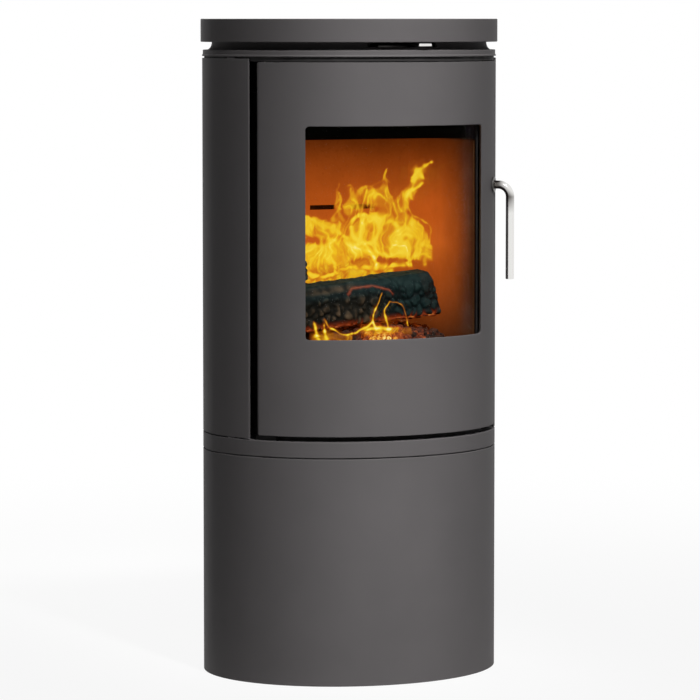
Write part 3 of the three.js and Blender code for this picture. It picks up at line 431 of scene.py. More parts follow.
def charred():
    """Charred log: vertex values give its blocks with a painted sheen on their faces, where fire has browned
    them, and the glow.
    """
    f = Finish("charred_wood", (0.012, 0.014, 0.014), 0.7, specular=0.06, glow=1)
    block, brown, glow = f.attribute("block"), f.attribute("brown"), f.attribute("glow")
    fine = f.noise(420, 5, 0.65)
    # painted sheen: the char is lighter teal grey on the block faces and near black in the cracks
    painted_sheen = f.ramp(block, [
        (0, (0.001, 0.003, 0.003)), (0.35, (0.002, 0.008, 0.008)), (1, (0.007, 0.02, 0.019))])
    umber = f.ramp(block, [
        (0, (0.002, 0.002, 0.001)), (0.35, (0.01, 0.008, 0.005)), (1, (0.07, 0.046, 0.026))])
    dust = f.ramp(fine, [(0.6, 0), (0.85, 0.3)])
    f.set("Base Color", f.mix(f.mix(painted_sheen, umber, brown), (0.05, 0.05, 0.042), dust))
    f.set("Emission Color", f.ramp(glow, [
        (0, BLACK), (0.3, (0.1, 0.01, 0.001)), (0.65, (0.26, 0.048, 0.014)), (1, (0.85, 0.36, 0.05))]))
    f.bump((fine, 0.6, 0.0008))
    return f.material


def coals():
    """Charcoal with a grey skin, orange to yellow where a vertex value makes it glow."""
    f = Finish("embers", (0.03, 0.025, 0.022), 0.9, specular=0.04, glow=1)
    blaze = f.attribute("blaze")
    mottle = f.noise(170, 4, 0.7)
    level = f.math("MULTIPLY", blaze, f.ramp(mottle, [(0.34, 0.35), (0.6, 1)]))
    f.set("Base Color", f.ramp(mottle, [(0.3, (0.004, 0.003, 0.003)), (0.7, (0.035, 0.024, 0.018))]))
    f.set("Emission Color", f.ramp(level, [
        (0.05, BLACK), (0.22, (0.1, 0.012, 0.001)), (0.42, (0.42, 0.07, 0.004)), (0.68, (0.86, 0.42, 0.03)),
        (0.95, (0.97, 0.82, 0.28))]))
    f.bump((mottle, 0.6, 0.001))
    return f.material


def flame():
    """Luminous gas: a vertex value runs from a thin orange veil to yellow-white strands."""
    f = Finish("flame", BLACK, 1, specular=0, glow=1)
    blaze = f.attribute("blaze")
    f.set("Emission Color", f.ramp(blaze, [
        (0, (0.42, 0.075, 0.006)), (0.22, (0.56, 0.13, 0.008)), (0.42, (0.76, 0.3, 0.012)),
        (0.62, (0.88, 0.55, 0.016)), (0.84, (0.93, 0.7, 0.05)), (1, (1, 0.88, 0.34))]))
    f.set("Alpha", f.ramp(blaze, [(0.02, 0), (0.18, 0.22), (0.4, 0.58), (0.62, 0.88), (0.85, 0.97)]))
    return f.material


FINISHES = {
    "casing_paint": paint(),
    "firebox_steel": dark_steel(),
    "cast_iron": cast_iron(),
    "polished_steel": polished(),
    "bright_steel": plain_steel(),
    "window_glass": glass(),
    "firebrick": firebrick(),
    "seal_rope": rope_weave(),
    "charred_wood": charred(),
    "embers": coals(),
}
FLAME = flame()
slot_of = {s["node"]: s["material_slot"] for s in frame["record"]["subparts"]}
for name, obj in nodes.items():
    obj.data.materials.clear()
    obj.data.materials.append(FINISHES[slot_of[name]])

# ---- casing


def sheet_profile(low, high, top_radius, foot_radius):
    return softened([(0, low, foot_radius), (0, high, top_radius), (SHEET, high, 0.3), (SHEET, low, 0.3)])


def pedestal():
    # the sheet stops at the flat back, so its columns run from corner to corner
    loops = []
    for inset, z in sheet_profile(0, BASE_TOP, 1, 0.8):
        corner = corner_angle(inset)
        loops.append(oval_run(-corner, corner, 220, inset, z))
    part("pedestal_skin", skin(loops, around=False), "base_shell")


def middle_ring():
    edge, deck, skirt = 1.1, 6, 12
    rim = [(12, RING_LOW, 0), (0, RING_LOW, edge), (0, RING_TOP, edge), (12, RING_TOP, 0)]
    loops = body_loops(softened(rim, closed=False)[1:-1])
    duct = [(DUCT_RADIUS + 0.5, RING_TOP), (DUCT_RADIUS, RING_TOP - 0.5), (DUCT_RADIUS, RING_TOP - deck)]
    loops += round_loops(duct, 0, loops[0])
    outer, inner = SHEET + FIT, 2 * SHEET + FIT
    loops += body_loops([(inner, RING_TOP - deck), (inner, RING_LOW - skirt), (outer, RING_LOW - skirt),
            (outer, RING_LOW)])
    part("pedestal_ring", skin(loops), "middle_ring")


def upper_ring():
    ledge_inset, neck_depth, inner, deck = 7, 9, 28, 4
    cove = [(ledge_inset + neck_depth * s, LEDGE + (NECK_TOP - LEDGE) * (1 - c)) for s, c in quarter(12)]
    # a small bead runs along the lower edge of the band
    bead = [(3, BAND_LOW, 0), (0, BAND_LOW, 0.6), (0, BAND_LOW + 2.2, 0.5), (1.1, BAND_LOW + 3.6, 0.8)]
    band = softened(bead + [(1.1, LEDGE, 0.9), (ledge_inset, LEDGE, 0)], closed=False)[1:-1]
    profile = band + [(ledge_inset - 0.4, LEDGE)] + cove + [
        (20, NECK_TOP), (20, BAND_LOW + deck), (inner, BAND_LOW + deck), (inner, BAND_LOW)]
    # the notch in the neck is as wide as the swing of the air lever's tab
    notch_half = LEVER_REACH * sin(radians(18)) + TAB_HALF + 5
    notch_z = LEDGE + 5.2
    shares = [-1 + 2 * i / 260 for i in range(261)]
    gap = 0.002
    loops = []
    for inset, z in profile:
        corner = corner_angle(inset)
        edge = degrees(asin(notch_half / (HALF_WIDTH - ledge_inset - neck_depth))) / corner
        left = [(u, False) for u in shares if u < -edge - gap] + [(-edge, False), (-edge, True)]
        middle = [(u, True) for u in shares if abs(u) < edge - gap]
        right = [(-u, cut) for u, cut in reversed(left)]
        run = [(*oval(u * corner, inset), min(z, notch_z) if cut else z) for u, cut in left + middle + right]
        loops.append(run + flat_back(run, 12, z))
    part("neck_ring", skin(loops), "upper_ring", 28)
    # the skirt below the band closes the gap over the door; its dark firebox steel is painted shade for the
    # shadowed gap
    high, low = BAND_LOW + 0.3, BAND_LOW - 7
    skirt = body_loops([(3.4, high), (3.4, low), (6.4, low), (6.4, high)])
    crease(smooth_piece("painted_shade_skirt", *skin(skirt), "firebox_steel").data)


def top_plate():
    seat, overhang, recess = 23, 2.5, 8
    rim = [(10, TOP_LOW, 0), (-overhang, TOP_LOW, 1.2), (-overhang, TOP_HIGH, 1.5), (30, TOP_HIGH, 0)]
    loops = body_loops([(seat, TOP_LOW)] + softened(rim, closed=False)[1:-1])
    flue = [(FLUE_HOLE + 1.2, TOP_HIGH), (FLUE_HOLE + 0.35, TOP_HIGH - 0.35), (FLUE_HOLE, TOP_HIGH - 1.2),
            (FLUE_HOLE, TOP_HIGH - recess)]
    loops += round_loops(flue, FLUE_Y, loops[0])
    loops += body_loops([(seat, TOP_HIGH - recess)])
    part("top_slab", skin(loops), "top_plate")


def side_panels():
    low, high = RING_TOP + 1.8, BAND_LOW - 3
    for side in (-1, 1):
        loops = []
        for inset, z in sheet_profile(low, high, 0.7, 0.7):
            loop = []
            # extra columns close to the front edge carry its small radius
            for along, pull in ((0, 0.9), (0.25, 0.35), (0.9, 0)):
                at = min(SHEET - 0.3, inset + pull) if inset < SHEET / 2 else inset
                loop.append((*oval(side * walk(PANEL_START, along), at), z))
            start = walk(PANEL_START, 1.6)
            loop += oval_run(side * start, side * corner_angle(inset), 90, inset, z)
            loops.append(loop)
        part(f"casing_{side_name(side)}", skin(loops, around=False), f"side_panel_{side_name(side)}", 40)
        feet(side, low, high)


def feet(side, low, high):
    """The short tabs that a side panel stands and hangs on."""
    span = 5
    for k, start in enumerate((PANEL_START + 8, corner_angle(0) - 13)):
        for end, (z0, z1) in (("foot", (RING_TOP + FIT, low + 1)), ("hook", (high - 1, BAND_LOW - FIT))):
            profile = [(1, z0), (1, z1), (SHEET, z1), (SHEET, z0)]
            shape = strip(profile, side * start, side * (start + span), 6)
            name = f"casing_{end}_{side_name(side)}_{k}"
            crease(smooth_piece(name, *shape, "casing_paint").data)


# ---- door


def frame_loop(edge_angle, low, high, radius, inset, share, grow, per=64, edge_round=0):
    """A closed rounded loop on the oval, between the door's outline and the window's.

    Share runs from 0 at the outline, with its upright edge at an angle, to 1 at the window. Grow widens the
    loop, and edge_round rounds its upright edges.
    """
    turn = radians(edge_angle)
    edge_x = HALF_WIDTH * sin(turn)
    edge_slope = HALF_WIDTH * cos(turn) / hypot(HALF_WIDTH * cos(turn), FRONT_DEPTH * sin(turn))
    at_window = share >= 0.5
    outer = (HALF_WIDTH - inset) * sin(radians(edge_angle if at_window else walk(edge_angle, grow)))
    half = outer + (WINDOW_X + (grow if at_window else 0) - outer) * share
    low, high = low - grow, high + grow
    r = min(radius, half * 0.5)
    centres = [(r - half, low + r), (half - r, low + r), (half - r, high - r), (r - half, high - r)]
    points = []
    for k, start in enumerate((-90, 0, 90, 180)):
        (ax, az), (bx, bz) = centres[k], centres[(k + 1) % 4]
        over, up = r * cos(radians(start)), r * sin(radians(start))
        points += [(ax + over + (bx - ax) * i / per, az + up + (bz - az) * i / per) for i in range(per)]
        for i in range(8):
            w = radians(start + 90 * i / 8)
            points.append((bx + r * cos(w), bz + r * sin(w)))

    def depth(x):
        into = min(edge_round, max(0, edge_round - (edge_x - abs(x)) / edge_slope))
        return inset + edge_round - sqrt(max(0, edge_round ** 2 - into ** 2))

    return [(x, front_y(x, depth(x) if edge_round else inset), z) for x, z in points]


def door_plate():
    bevel, fold, steps, back_edge = 0.9, 3.2, 4, 0.3

    def loop(share, inset, grow=0, edge_round=fold):
        low = DOOR_LOW + (WINDOW_LOW - DOOR_LOW) * share
        high = DOOR_TOP + (WINDOW_TOP - DOOR_TOP) * share
        radius = DOOR_CORNER + (WINDOW_CORNER - DOOR_CORNER) * share
        return frame_loop(DOOR_EDGE, low, high, radius, inset, share, grow, edge_round=edge_round)

    # from the outer edge onto the face, over it, and round into the window's reveal
    loops = [loop(0, bevel * (1 - s), -bevel * (1 - c)) for s, c in quarter(steps)]
    loops += [loop(k / 150, 0) for k in (1, 2, 3, 4, 5, 7)]
    loops += [loop(k / 30, 0) for k in range(2, 30)]
    loops.append(loop(1, 0, bevel * 1.5))
    loops += [loop(1, bevel * (1 - c), bevel * (1 - s)) for s, c in quarter(steps)]
    # then through the plate, and back over its rear face
    loops += [loop(1, bevel * 1.5), loop(1, DOOR_SHEET - back_edge), loop(1, DOOR_SHEET, back_edge, 0)]
    loops += [loop(1 - k / 12, DOOR_SHEET, 0, 0) for k in range(1, 12)]
    loops += [loop(0, DOOR_SHEET, -back_edge, 0), loop(0, DOOR_SHEET - back_edge, 0, 0)]
    part("door_skin", skin(loops), "door_plate", 40)


def door_glass():
    low, high = WINDOW_LOW - PANE_OVERLAP, WINDOW_TOP + PANE_OVERLAP
    profile = softened([(PANE_INSET, low, 0.6), (PANE_INSET, high, 0.6), (PANE_INSET + PANE, high, 0.6),
            (PANE_INSET + PANE, low, 0.6)])
    part("window_pane", strip(profile, -PANE_EDGE, PANE_EDGE, 70), "door_glass")


def rope(name, node, edge_angle, low, high, corner, inset, half_wide, half_deep, twist, wave):
    """Rope or tape in a closed loop: a plump section with a twist of strands."""
    centre = frame_loop(edge_angle, low, high, corner, inset, 0, 0, per=150)
    pitch, tight = 0.55, 0.965
    section = circle(12)
    loops = []
    run = 0
    for i, p in enumerate(centre):
        here, after, before = Vector(p), Vector(centre[(i + 1) % len(centre)]), Vector(centre[i - 1])
        tangent = (after - before).normalized()
        run += (here - before).length if i else 0
        outward = Vector((p[0] / HALF_WIDTH ** 2, p[1] / FRONT_DEPTH ** 2, 0)).normalized()
        across = tangent.cross(outward).normalized()
        loop = []
        for k, (c, s) in enumerate(section):
            swell = 1 / (abs(c) ** 4 + abs(s) ** 4) ** 0.25
            ripple = 1 + wave * cos(twist * 2 * pi * k / len(section) + run * pitch)
            spoke = across * c * half_wide + outward * s * half_deep
            loop.append(tuple(here + spoke * swell * ripple * tight))
        loops.append(loop)
    part(name, skin(loops), node, 60)


def ropes():
    channel_wall, half_rope, channel_margin, half_tape = 2.3, 5.25, 14.5, 4
    rope("rope_seal", "door_rope", walk(CHANNEL_END, -channel_wall - half_rope),
         DOOR_LOW + channel_margin + channel_wall + half_rope,
         DOOR_TOP - channel_margin - channel_wall - half_rope, 9, 12.3, 5, 4.45, 3, 0.035)
    rope("glass_tape", "glass_gasket", walk(PANE_EDGE, -half_tape), WINDOW_LOW - PANE_OVERLAP + half_tape,
         WINDOW_TOP + PANE_OVERLAP - half_tape, 5, 6.15, 3.8, 0.8, 2, 0.02)


# ---- handle, bushing, air tab


def latch_frame():
    """The latch's place on the door, and the directions along the face, up and out of it."""
    x, y = oval(LATCH)
    turn = radians(LATCH)
    out = Vector((sin(turn) / HALF_WIDTH, -cos(turn) / FRONT_DEPTH, 0)).normalized()
    up = Vector((0, 0, 1))
    return Vector((x, y, HANDLE_Z)), up.cross(out), up, out


def in_latch(points):
    origin, side, up, out = latch_frame()
    return [tuple(origin + side * x + up * y + out * z) for x, y, z in points]


def handle():
    """The bar: out of the door, round a bend and down to a softened end."""
    stand, bend, drop, radius = 29, 20, 157, 7
    outwards, down = (0, 0, 1), (0, -1, 0)
    path = [((0, 0, z), outwards, radius) for z in (-13.5, 0, stand - bend - 1)]
    path += [((0, -bend * (1 - c), stand - bend * (1 - s)), (0, -s, c), radius) for s, c in quarter(24)]
    path += [((0, -drop * share, stand), down, radius) for share in (0.3, 0.5, 0.7, 0.9, 0.985)]
    path += [((0, back - drop, stand), down, radius - inset)
            for inset, back in ((0.25, 0.5), (1, 0.12), (1.5, 0))]
    across = Vector((1, 0, 0))
    loops = []
    for centre, tangent, size in path:
        over = Vector(tangent).cross(across)
        loops.append(in_latch([Vector(centre) + (across * c + over * s) * size for c, s in circle(40)]))
    bar = part("bar_handle", skin(loops, through=False), "handle_rod", 50)
    # the bar is darker on its first millimetres, by the door
    origin, _, _, out = latch_frame()
    root = origin * MM
    reach = [((v.co - root).dot(out) - max(0, root.z - v.co.z)) / MM for v in bar.data.vertices]
    values(bar, blackened=[float(1 - smooth(8, 24, r)) if r > -8 else 0 for r in reach])


def bushing():
    profile = softened([(7.3, -5.3, 0), (10.3, -5.3, 0.4), (10.3, 1.2, 0.2), (13, 1.2, 0.3), (13, 3.2, 0.8),
            (7.3, 3.2, 0.4)])
    loops = [in_latch([(s * cosine, s * sine, z) for cosine, sine in circle(48)]) for s, z in profile]
    part("handle_collar", skin(loops), "handle_bushing")


def air_tab():
    length, half_thick = 14, 2.5
    tip, root = -LEVER_REACH, length - LEVER_REACH
    middle_y, middle_z = length / 2 - LEVER_REACH, LEDGE + 9
    turn = radians(13.7)
    outline = softened([(-TAB_HALF, tip, 1.6), (TAB_HALF, tip, 1.6), (TAB_HALF, root, 0.6),
            (-TAB_HALF, root, 0.6)])
    edge = [(0.7, half_thick), (0.2, half_thick - 0.2), (0, half_thick - 0.7)]
    levels = [(inset, -z) for inset, z in edge] + edge[::-1]
    loops = []
    for inset, z in levels:
        loop = []
        for x, y in outline:
            x2 = x * (1 - inset / TAB_HALF)
            y2 = middle_y + (y - middle_y) * (1 - inset / (length / 2))
            loop.append((x2 * cos(turn) - y2 * sin(turn),
                    AIR_PIVOT_Y + x2 * sin(turn) + y2 * cos(turn), middle_z + z))
        loops.append(loop)
    part("air_tab", skin(loops, through=False), "air_lever_tab", 50)


# ---- fire


def smooth(low, high, value):
    """0 below low, 1 above high, and an even S-curve between."""
    f = np.clip((value - low) / (high - low), 0, 1)
    return f * f * (3 - 2 * f)


def bell(value, width):
    return exp(-(value / width) ** 2)


def values(obj, **named):
    for name, numbers in named.items():
        layer = obj.data.attributes.new(name, "FLOAT", "POINT")
        layer.data.foreach_set("value", np.asarray(numbers, dtype=np.float32))


def far(points, line):
    """Each point's distance from a polyline, and how far along it that is, from 0 to 1."""
    line = np.asarray(line, float)
    best = np.full(len(points), 1e9)
    along = np.zeros(len(points))
    lengths = np.hypot(*(line[1:] - line[:-1]).T)
    run = 0
    for a, b, length in zip(line[:-1], line[1:], lengths):
        t = np.clip(((points - a) @ (b - a)) / max(length ** 2, 1e-9), 0, 1)
        d = np.hypot(*(points - a - t[:, None] * (b - a)).T)
        nearer = d < best
        best[nearer] = d[nearer]
        along[nearer] = ((run + t * length) / lengths.sum())[nearer]
        run += length
    return best, along


def curved(line, steps=6):
    """The same line, rounded by a Catmull-Rom curve."""
    p = [Vector(q) for q in line]
    p = [p[0] * 2 - p[1]] + p + [p[-1] * 2 - p[-2]]
    out = []
    for i in range(1, len(p) - 2):
        a, b, c, d = p[i - 1:i + 3]
        for k in range(steps):
            t = k / steps
            out.append(tuple(0.5 * ((2 * b) + (c - a) * t + (2 * a - 5 * b + 4 * c - d) * t ** 2
                    + (3 * b - a - 3 * c + d) * t ** 3)))
    return out + [tuple(p[-2])]


def drift(points, wide, tall, seed):
    return np.array([noise.noise_vector(Vector((x / wide, z / tall, seed))) for x, z in points])[:, :2]


def field(points, wide, tall, seed):
    return np.array([noise.noise(Vector((x / wide, z / tall, seed))) for x, z in points])


def flames(name, depth, box, seed, cell=1.5, grain=1, *, strands, veils):
    """A rippled sheet whose heat is drawn by strands, softened by veils and torn by turbulence.

    Each of them is (first width, last width, heat) and then its line in x and z. Cell is a quad's size.
    """
    x0, x1, z0, z1 = box
    nx, nz = int((x1 - x0) / cell), int((z1 - z0) / cell)
    grid_x, grid_z = np.meshgrid(np.linspace(x0, x1, nx), np.linspace(z0, z1, nz))
    flat = np.stack([grid_x.ravel(), grid_z.ravel()], 1)
    slow, fast = drift(flat, 34, 34, seed), drift(flat, 11, 13, seed + 9)
    bent = flat + slow * 5 + fast * 2
    swirl = flat + slow * 26 + fast * 5

    veil = np.zeros(len(flat))
    for w0, w1, hot, *line in veils:
        d, t = far(bent, curved(line))
        w = w0 + (w1 - w0) * t
        veil = 1 - (1 - veil) * (1 - hot * (1 - smooth(0.35 * w, w, d)))
    ridge = np.clip(1 - np.abs(field(swirl, 16, 36, seed + 3)) * 2.2, 0, 1) ** 2
    thread = np.clip(1 - np.abs(field(swirl, 7, 19, seed + 7)) * 2.4, 0, 1) ** 2
    cloud = field(swirl, 26, 40, seed + 5)
    body = smooth(0.1, 0.66, veil + 0.34 * grain * (ridge - 0.35))
    heat = body * (0.42 + 0.58 * veil) * (0.46 + grain * (0.26 * ridge + 0.14 * thread) + 0.34 * cloud)

    lively = 0.5 + 1.1 * field(swirl, 11, 11, seed + 13)
    for w0, w1, hot, *line in strands:
        d, t = far(bent, curved(line))
        w = (w0 + (w1 - w0) * t) * (0.75 + 0.5 * lively)
        cover = np.clip(np.exp(-(d / w) ** 2) * 0.9 + np.exp(-d / (w * 2.4)) * 0.3, 0, 1)
        cover *= (smooth(0, 0.06, t) * 0.5 + 0.5) * np.clip(0.45 + 0.65 * lively, 0, 1)
        heat = heat + np.maximum(0, hot - heat) * cover
    margin = np.minimum.reduce([flat[:, 0] - x0, x1 - flat[:, 0], flat[:, 1] - z0, z1 - flat[:, 1]])
    heat = np.where(heat < 0.06, 0, heat) * smooth(0, 9, margin)

    # the ripple follows the photo's line of sight, so the strands keep their places
    ripple = field(flat, 60, 75, seed + 20) * 13
    points = [(x + SIGHT.x * r, depth + SIGHT.y * r, z) for (x, z), r in zip(flat, ripple)]
    keep = heat.reshape(nz, nx) > 0
    corners = [j * nx + i for j in range(nz - 1) for i in range(nx - 1) if keep[j:j + 2, i:i + 2].any()]
    faces = [(k, k + 1, k + nx + 1, k + nx) for k in corners]
    used = sorted({v for face in faces for v in face})
    new = {v: i for i, v in enumerate(used)}
    faces = [tuple(new[v] for v in face) for face in faces]
    sheet = smooth_piece(name, [points[v] for v in used], faces, "embers", material=FLAME)
    values(sheet, blaze=heat[used])


SIGHT = Vector((0.438, 0.899))


def main_fire():
    flames("fire_middle", -10, (-152, 156, 636, 856), 3, strands=[
        (3.2, 4.5, 0.85, (103, 781), (109, 794), (122, 802), (130, 812), (129, 824), (120, 831)),
        (5, 2, 0.75, (112, 808), (121, 824), (133, 837), (152, 843)),
        (3.5, 1.6, 0.55, (6, 790), (21, 803), (40, 806), (55, 812), (62, 819), (64, 831)),
        (1.8, 1.6, 0.5, (63, 820), (68, 813), (73, 809)),
        (1.8, 2.6, 0.5, (-12, 805), (-1, 806), (3, 796), (-5, 783), (-12, 770), (-10, 756)),
        (3.2, 3.2, 0.8, (-1, 739), (2, 748), (10, 754), (23, 757), (38, 752), (48, 742), (50, 728),
         (43, 715), (30, 710), (14, 714), (3, 726), (-1, 739)),
        (2.6, 4, 0.75, (55, 728), (58, 740), (73, 744), (85, 734), (92, 717), (98, 700), (103, 687),
         (109, 671)),
        (3, 3.2, 0.8, (43, 715), (44, 700), (55, 692), (73, 689), (88, 694), (96, 705)),
        (2.4, 3, 0.7, (-85, 758), (-64, 749), (-46, 739), (-23, 730), (-7, 721)),
        (2, 2.4, 0.6, (-85, 748), (-71, 755), (-57, 749), (-44, 744)),
        (2, 3, 0.75, (-85, 707), (-64, 708), (-46, 699), (-33, 682), (-29, 665), (-41, 654),
         (-64, 658), (-84, 668)),
        (1.8, 2, 0.6, (-82, 683), (-76, 696), (-64, 701), (-53, 692), (-49, 681)),
        (3, 4.5, 0.75, (-84, 665), (-57, 655), (-33, 657), (-16, 668), (6, 671), (36, 668), (66, 669),
         (103, 672)),
        (1.8, 3.2, 0.6, (103, 769), (115, 753), (133, 746), (146, 734), (149, 721), (142, 707), (139, 689),
         (137, 672)),
        (2.2, 2.6, 0.7, (135, 713), (130, 699), (125, 681)),
        (2.2, 3.5, 0.95, (23, 712), (30, 698), (38, 685), (44, 674)),
        (2, 2.6, 0.45, (104, 770), (100, 754), (98, 727), (102, 700)),
        (3, 2.6, 0.7, (-150, 690), (-140, 712), (-120, 730), (-100, 742), (-86, 757)),
        (3, 1.4, 0.6, (-138, 668), (-128, 700), (-133, 735), (-122, 765), (-127, 790)),
    ], veils=[
        (34, 24, 0.92, (-150, 690), (-90, 690), (-30, 695), (30, 705), (100, 700), (145, 690)),
        (22, 34, 0.85, (-88, 745), (-40, 730), (0, 730), (45, 740), (95, 730)),
        (26, 24, 0.62, (0, 770), (25, 785), (55, 790)),
        (26, 15, 0.62, (55, 780), (85, 770), (105, 790), (122, 818)),
        (26, 16, 0.55, (100, 740), (125, 725), (140, 700)),
        (15, 8, 0.5, (-10, 760), (-2, 785), (-6, 803)),
        (10, 5, 0.5, (60, 800), (63, 826)),
        (24, 8, 0.6, (-130, 700), (-130, 740), (-126, 780)),
    ])


def back_fire():
    flames("fire_back", 84, (-135, 130, 596, 830), 11, 2.2, strands=[
        (5, 2, 0.4, (-60, 640), (-50, 690), (-62, 730), (-48, 770)),
        (6, 2, 0.45, (20, 640), (8, 690), (26, 740), (14, 782), (22, 806)),
        (5, 2, 0.4, (80, 640), (92, 690), (76, 730), (88, 776), (80, 800)),
    ], veils=[
        (44, 40, 0.7, (-120, 640), (-40, 655), (40, 655), (115, 645)),
        (28, 8, 0.5, (-50, 690), (-55, 730), (-48, 760)),
        (34, 8, 0.5, (15, 690), (18, 740), (20, 790)),
        (28, 8, 0.45, (85, 690), (82, 740), (84, 780)),
    ])


def front_fire():
    flames("fire_front", -120, (-134, 66, 548, 646), 23, 1.1, 0.6, strands=[
        (0.7, 2.2, 0.92, (1, 633), (-3, 620), (-11, 603), (-17, 585), (-12, 572)),
        (0.6, 1.8, 0.85, (15, 619), (8, 603), (9, 590), (10, 574)),
        (0.5, 1.1, 0.75, (13, 617), (27, 618), (37, 611), (44, 598), (50, 580)),
        (1.5, 3.6, 1, (-123, 592), (-118, 578), (-116, 562)),
        (1.2, 1.7, 0.9, (-104, 594), (-92, 579), (-70, 568), (-41, 571), (-19, 583)),
        (1.3, 3, 0.95, (-104, 588), (-103, 572), (-98, 560)),
        (1.8, 2.6, 1, (-30, 572), (-8, 574), (14, 575)),
    ], veils=[
        (14, 10, 0.5, (-128, 566), (-95, 564), (-60, 560)),
        (12, 8, 0.5, (-30, 570), (20, 572), (52, 572)),
    ])


BED_X, BED_Y, BED_MIDDLE = 148.9, 105.3, -35.2      # half width, half depth and middle of the ember bed


def on_bed(share, cosine, sine):
    return share * BED_X * cosine, BED_MIDDLE + share * BED_Y * sine


def dome(share):
    """The height of the ember bed at a share of its radius."""
    level = float(np.interp(share, (0, 0.5, 0.85, 1), (1, 0.9, 0.55, 0.15)))
    return EMBER_LOW + (EMBER_TOP - EMBER_LOW) * level


def bed_heat(x, y):
    """Two hot places at the front, and patches of glow behind them."""
    patchy = 0.5 + 0.9 * noise.noise(Vector((x / 21, y / 12, 4)))
    under = 0.55 * bell(x - 45, 75) * max(0, patchy) + 0.06
    return min(1, bell(y + 124, 24) * (bell(x + 114, 24) + bell(x + 4, 27)) * 1.15 + under)


def coal_spots(rng):
    spots = []
    tries = 0
    while len(spots) < 420 and tries < 9000:
        tries += 1
        share, w = sqrt(rng.uniform(0, 0.93)), rng.uniform(0, 2 * pi)
        x, y = on_bed(share, cos(w), sin(w))
        size = rng.uniform(4.5, 10.5)
        if all((x - a) ** 2 + (y - b) ** 2 > (0.62 * (size + c)) ** 2 for a, b, c, _ in spots):
            spots.append((x, y, size, share))
    return spots


def coal(work, rng, x, y, size, low):
    """A lump with flattened facets; returns its vertices' heat."""
    grow = rng.uniform(0.75, 1.2, 3) * size
    spin = Matrix.Rotation(rng.uniform(0, 6.3), 3, "Z") @ Matrix.Rotation(rng.uniform(-0.7, 0.7), 3, "X")
    seed = rng.uniform(0, 100)
    hot = bed_heat(x, y)
    heats = []
    for v in bmesh.ops.create_icosphere(work, subdivisions=2, radius=1)["verts"]:
        coarse = noise.noise(v.co * 1.4 + Vector((seed, 0, 0)))
        fine = noise.noise(v.co * 4 + Vector((0, seed, 0)))
        lump = v.co * (1 + 0.34 * coarse + 0.12 * fine)
        lump = Vector([copysign(min(abs(t), 0.72), t) for t in lump])
        lump = spin @ Vector([t * g for t, g in zip(lump, grow)])
        v.co = Vector((x, y, low + 1.5 + 0.25 * size)) + lump
        heats.append(hot * (0.75 + 0.5 * noise.noise(v.co / 9)))
    return heats


def ash(work, rings=14, around=48):
    """The ash dome under the lumps; returns its vertices' heat."""
    base, heats = [], []
    for k in range(rings + 1):
        for cosine, sine in circle(around):
            share = k / rings
            x, y = on_bed(share * 0.985, cosine, sine)
            base.append(work.verts.new((x, y, dome(share) - 1)))
            heats.append(0.5 * bed_heat(x, y))
    base += [work.verts.new((v.co.x, v.co.y, EMBER_LOW)) for v in base[-around:]]
    heats += [0] * around
    for k in range(rings + 1):
        row, outer = base[k * around:(k + 1) * around], base[(k + 1) * around:(k + 2) * around]
        for i in range(around):
            j = (i + 1) % around
            work.faces.new([row[i], row[j], outer[j], outer[i]] if k else [row[i], outer[j], outer[i]])
    return heats


def ember_bed():
    rng = np.random.default_rng(7)
    work = bmesh.new()
    heats = []
    for x, y, size, share in coal_spots(rng):
        heats += coal(work, rng, x, y, size, dome(share))
    heats += ash(work)
    for v in work.verts:
        v.co *= MM
    mesh = bpy.data.meshes.new("coal_bed")
    work.to_mesh(mesh)
    work.free()
    bed = settle("coal_bed", mesh, "embers")
    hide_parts("ember_bed")
    values(bed, blaze=heats)
    # the lumps have flat facets, and the ash is smooth
    mesh.polygons.foreach_set("use_smooth", [len(p.vertices) == 4 for p in mesh.polygons])


# the section of a split log
SPLIT = [(-0.47, -0.42), (-0.2, -0.5), (0.4, -0.5), (0.47, -0.1), (0.43, 0.4), (0.2, 0.5), (-0.3, 0.47),
        (-0.46, 0.2)]


def split_radius(cosine, sine):
    """How far the section reaches in a direction, in log thicknesses."""
    spoke = Vector((cosine, sine))
    best = 1e9
    for (ax, ay), (bx, by) in zip(SPLIT, SPLIT[1:] + SPLIT[:1]):
        side = Vector((bx - ax, by - ay))
        cross = spoke.x * side.y - spoke.y * side.x
        if abs(cross) > 1e-9:
            reach = (ax * side.y - ay * side.x) / cross
            along = (ax * spoke.y - ay * spoke.x) / cross
            if reach > 0 and -1e-6 <= along <= 1 + 1e-6:
                best = min(best, reach)
    return best


def split_section(around):
    """(cosine, sine, reach) round the split section, with its corners worn round."""
    spokes = circle(around)
    radii = np.array([split_radius(c, s) for c, s in spokes])
    for _ in range(3):
        radii = (np.roll(radii, 1) + 2 * radii + np.roll(radii, -1)) / 4
    return [(c, s, r) for (c, s), r in zip(spokes, radii)]


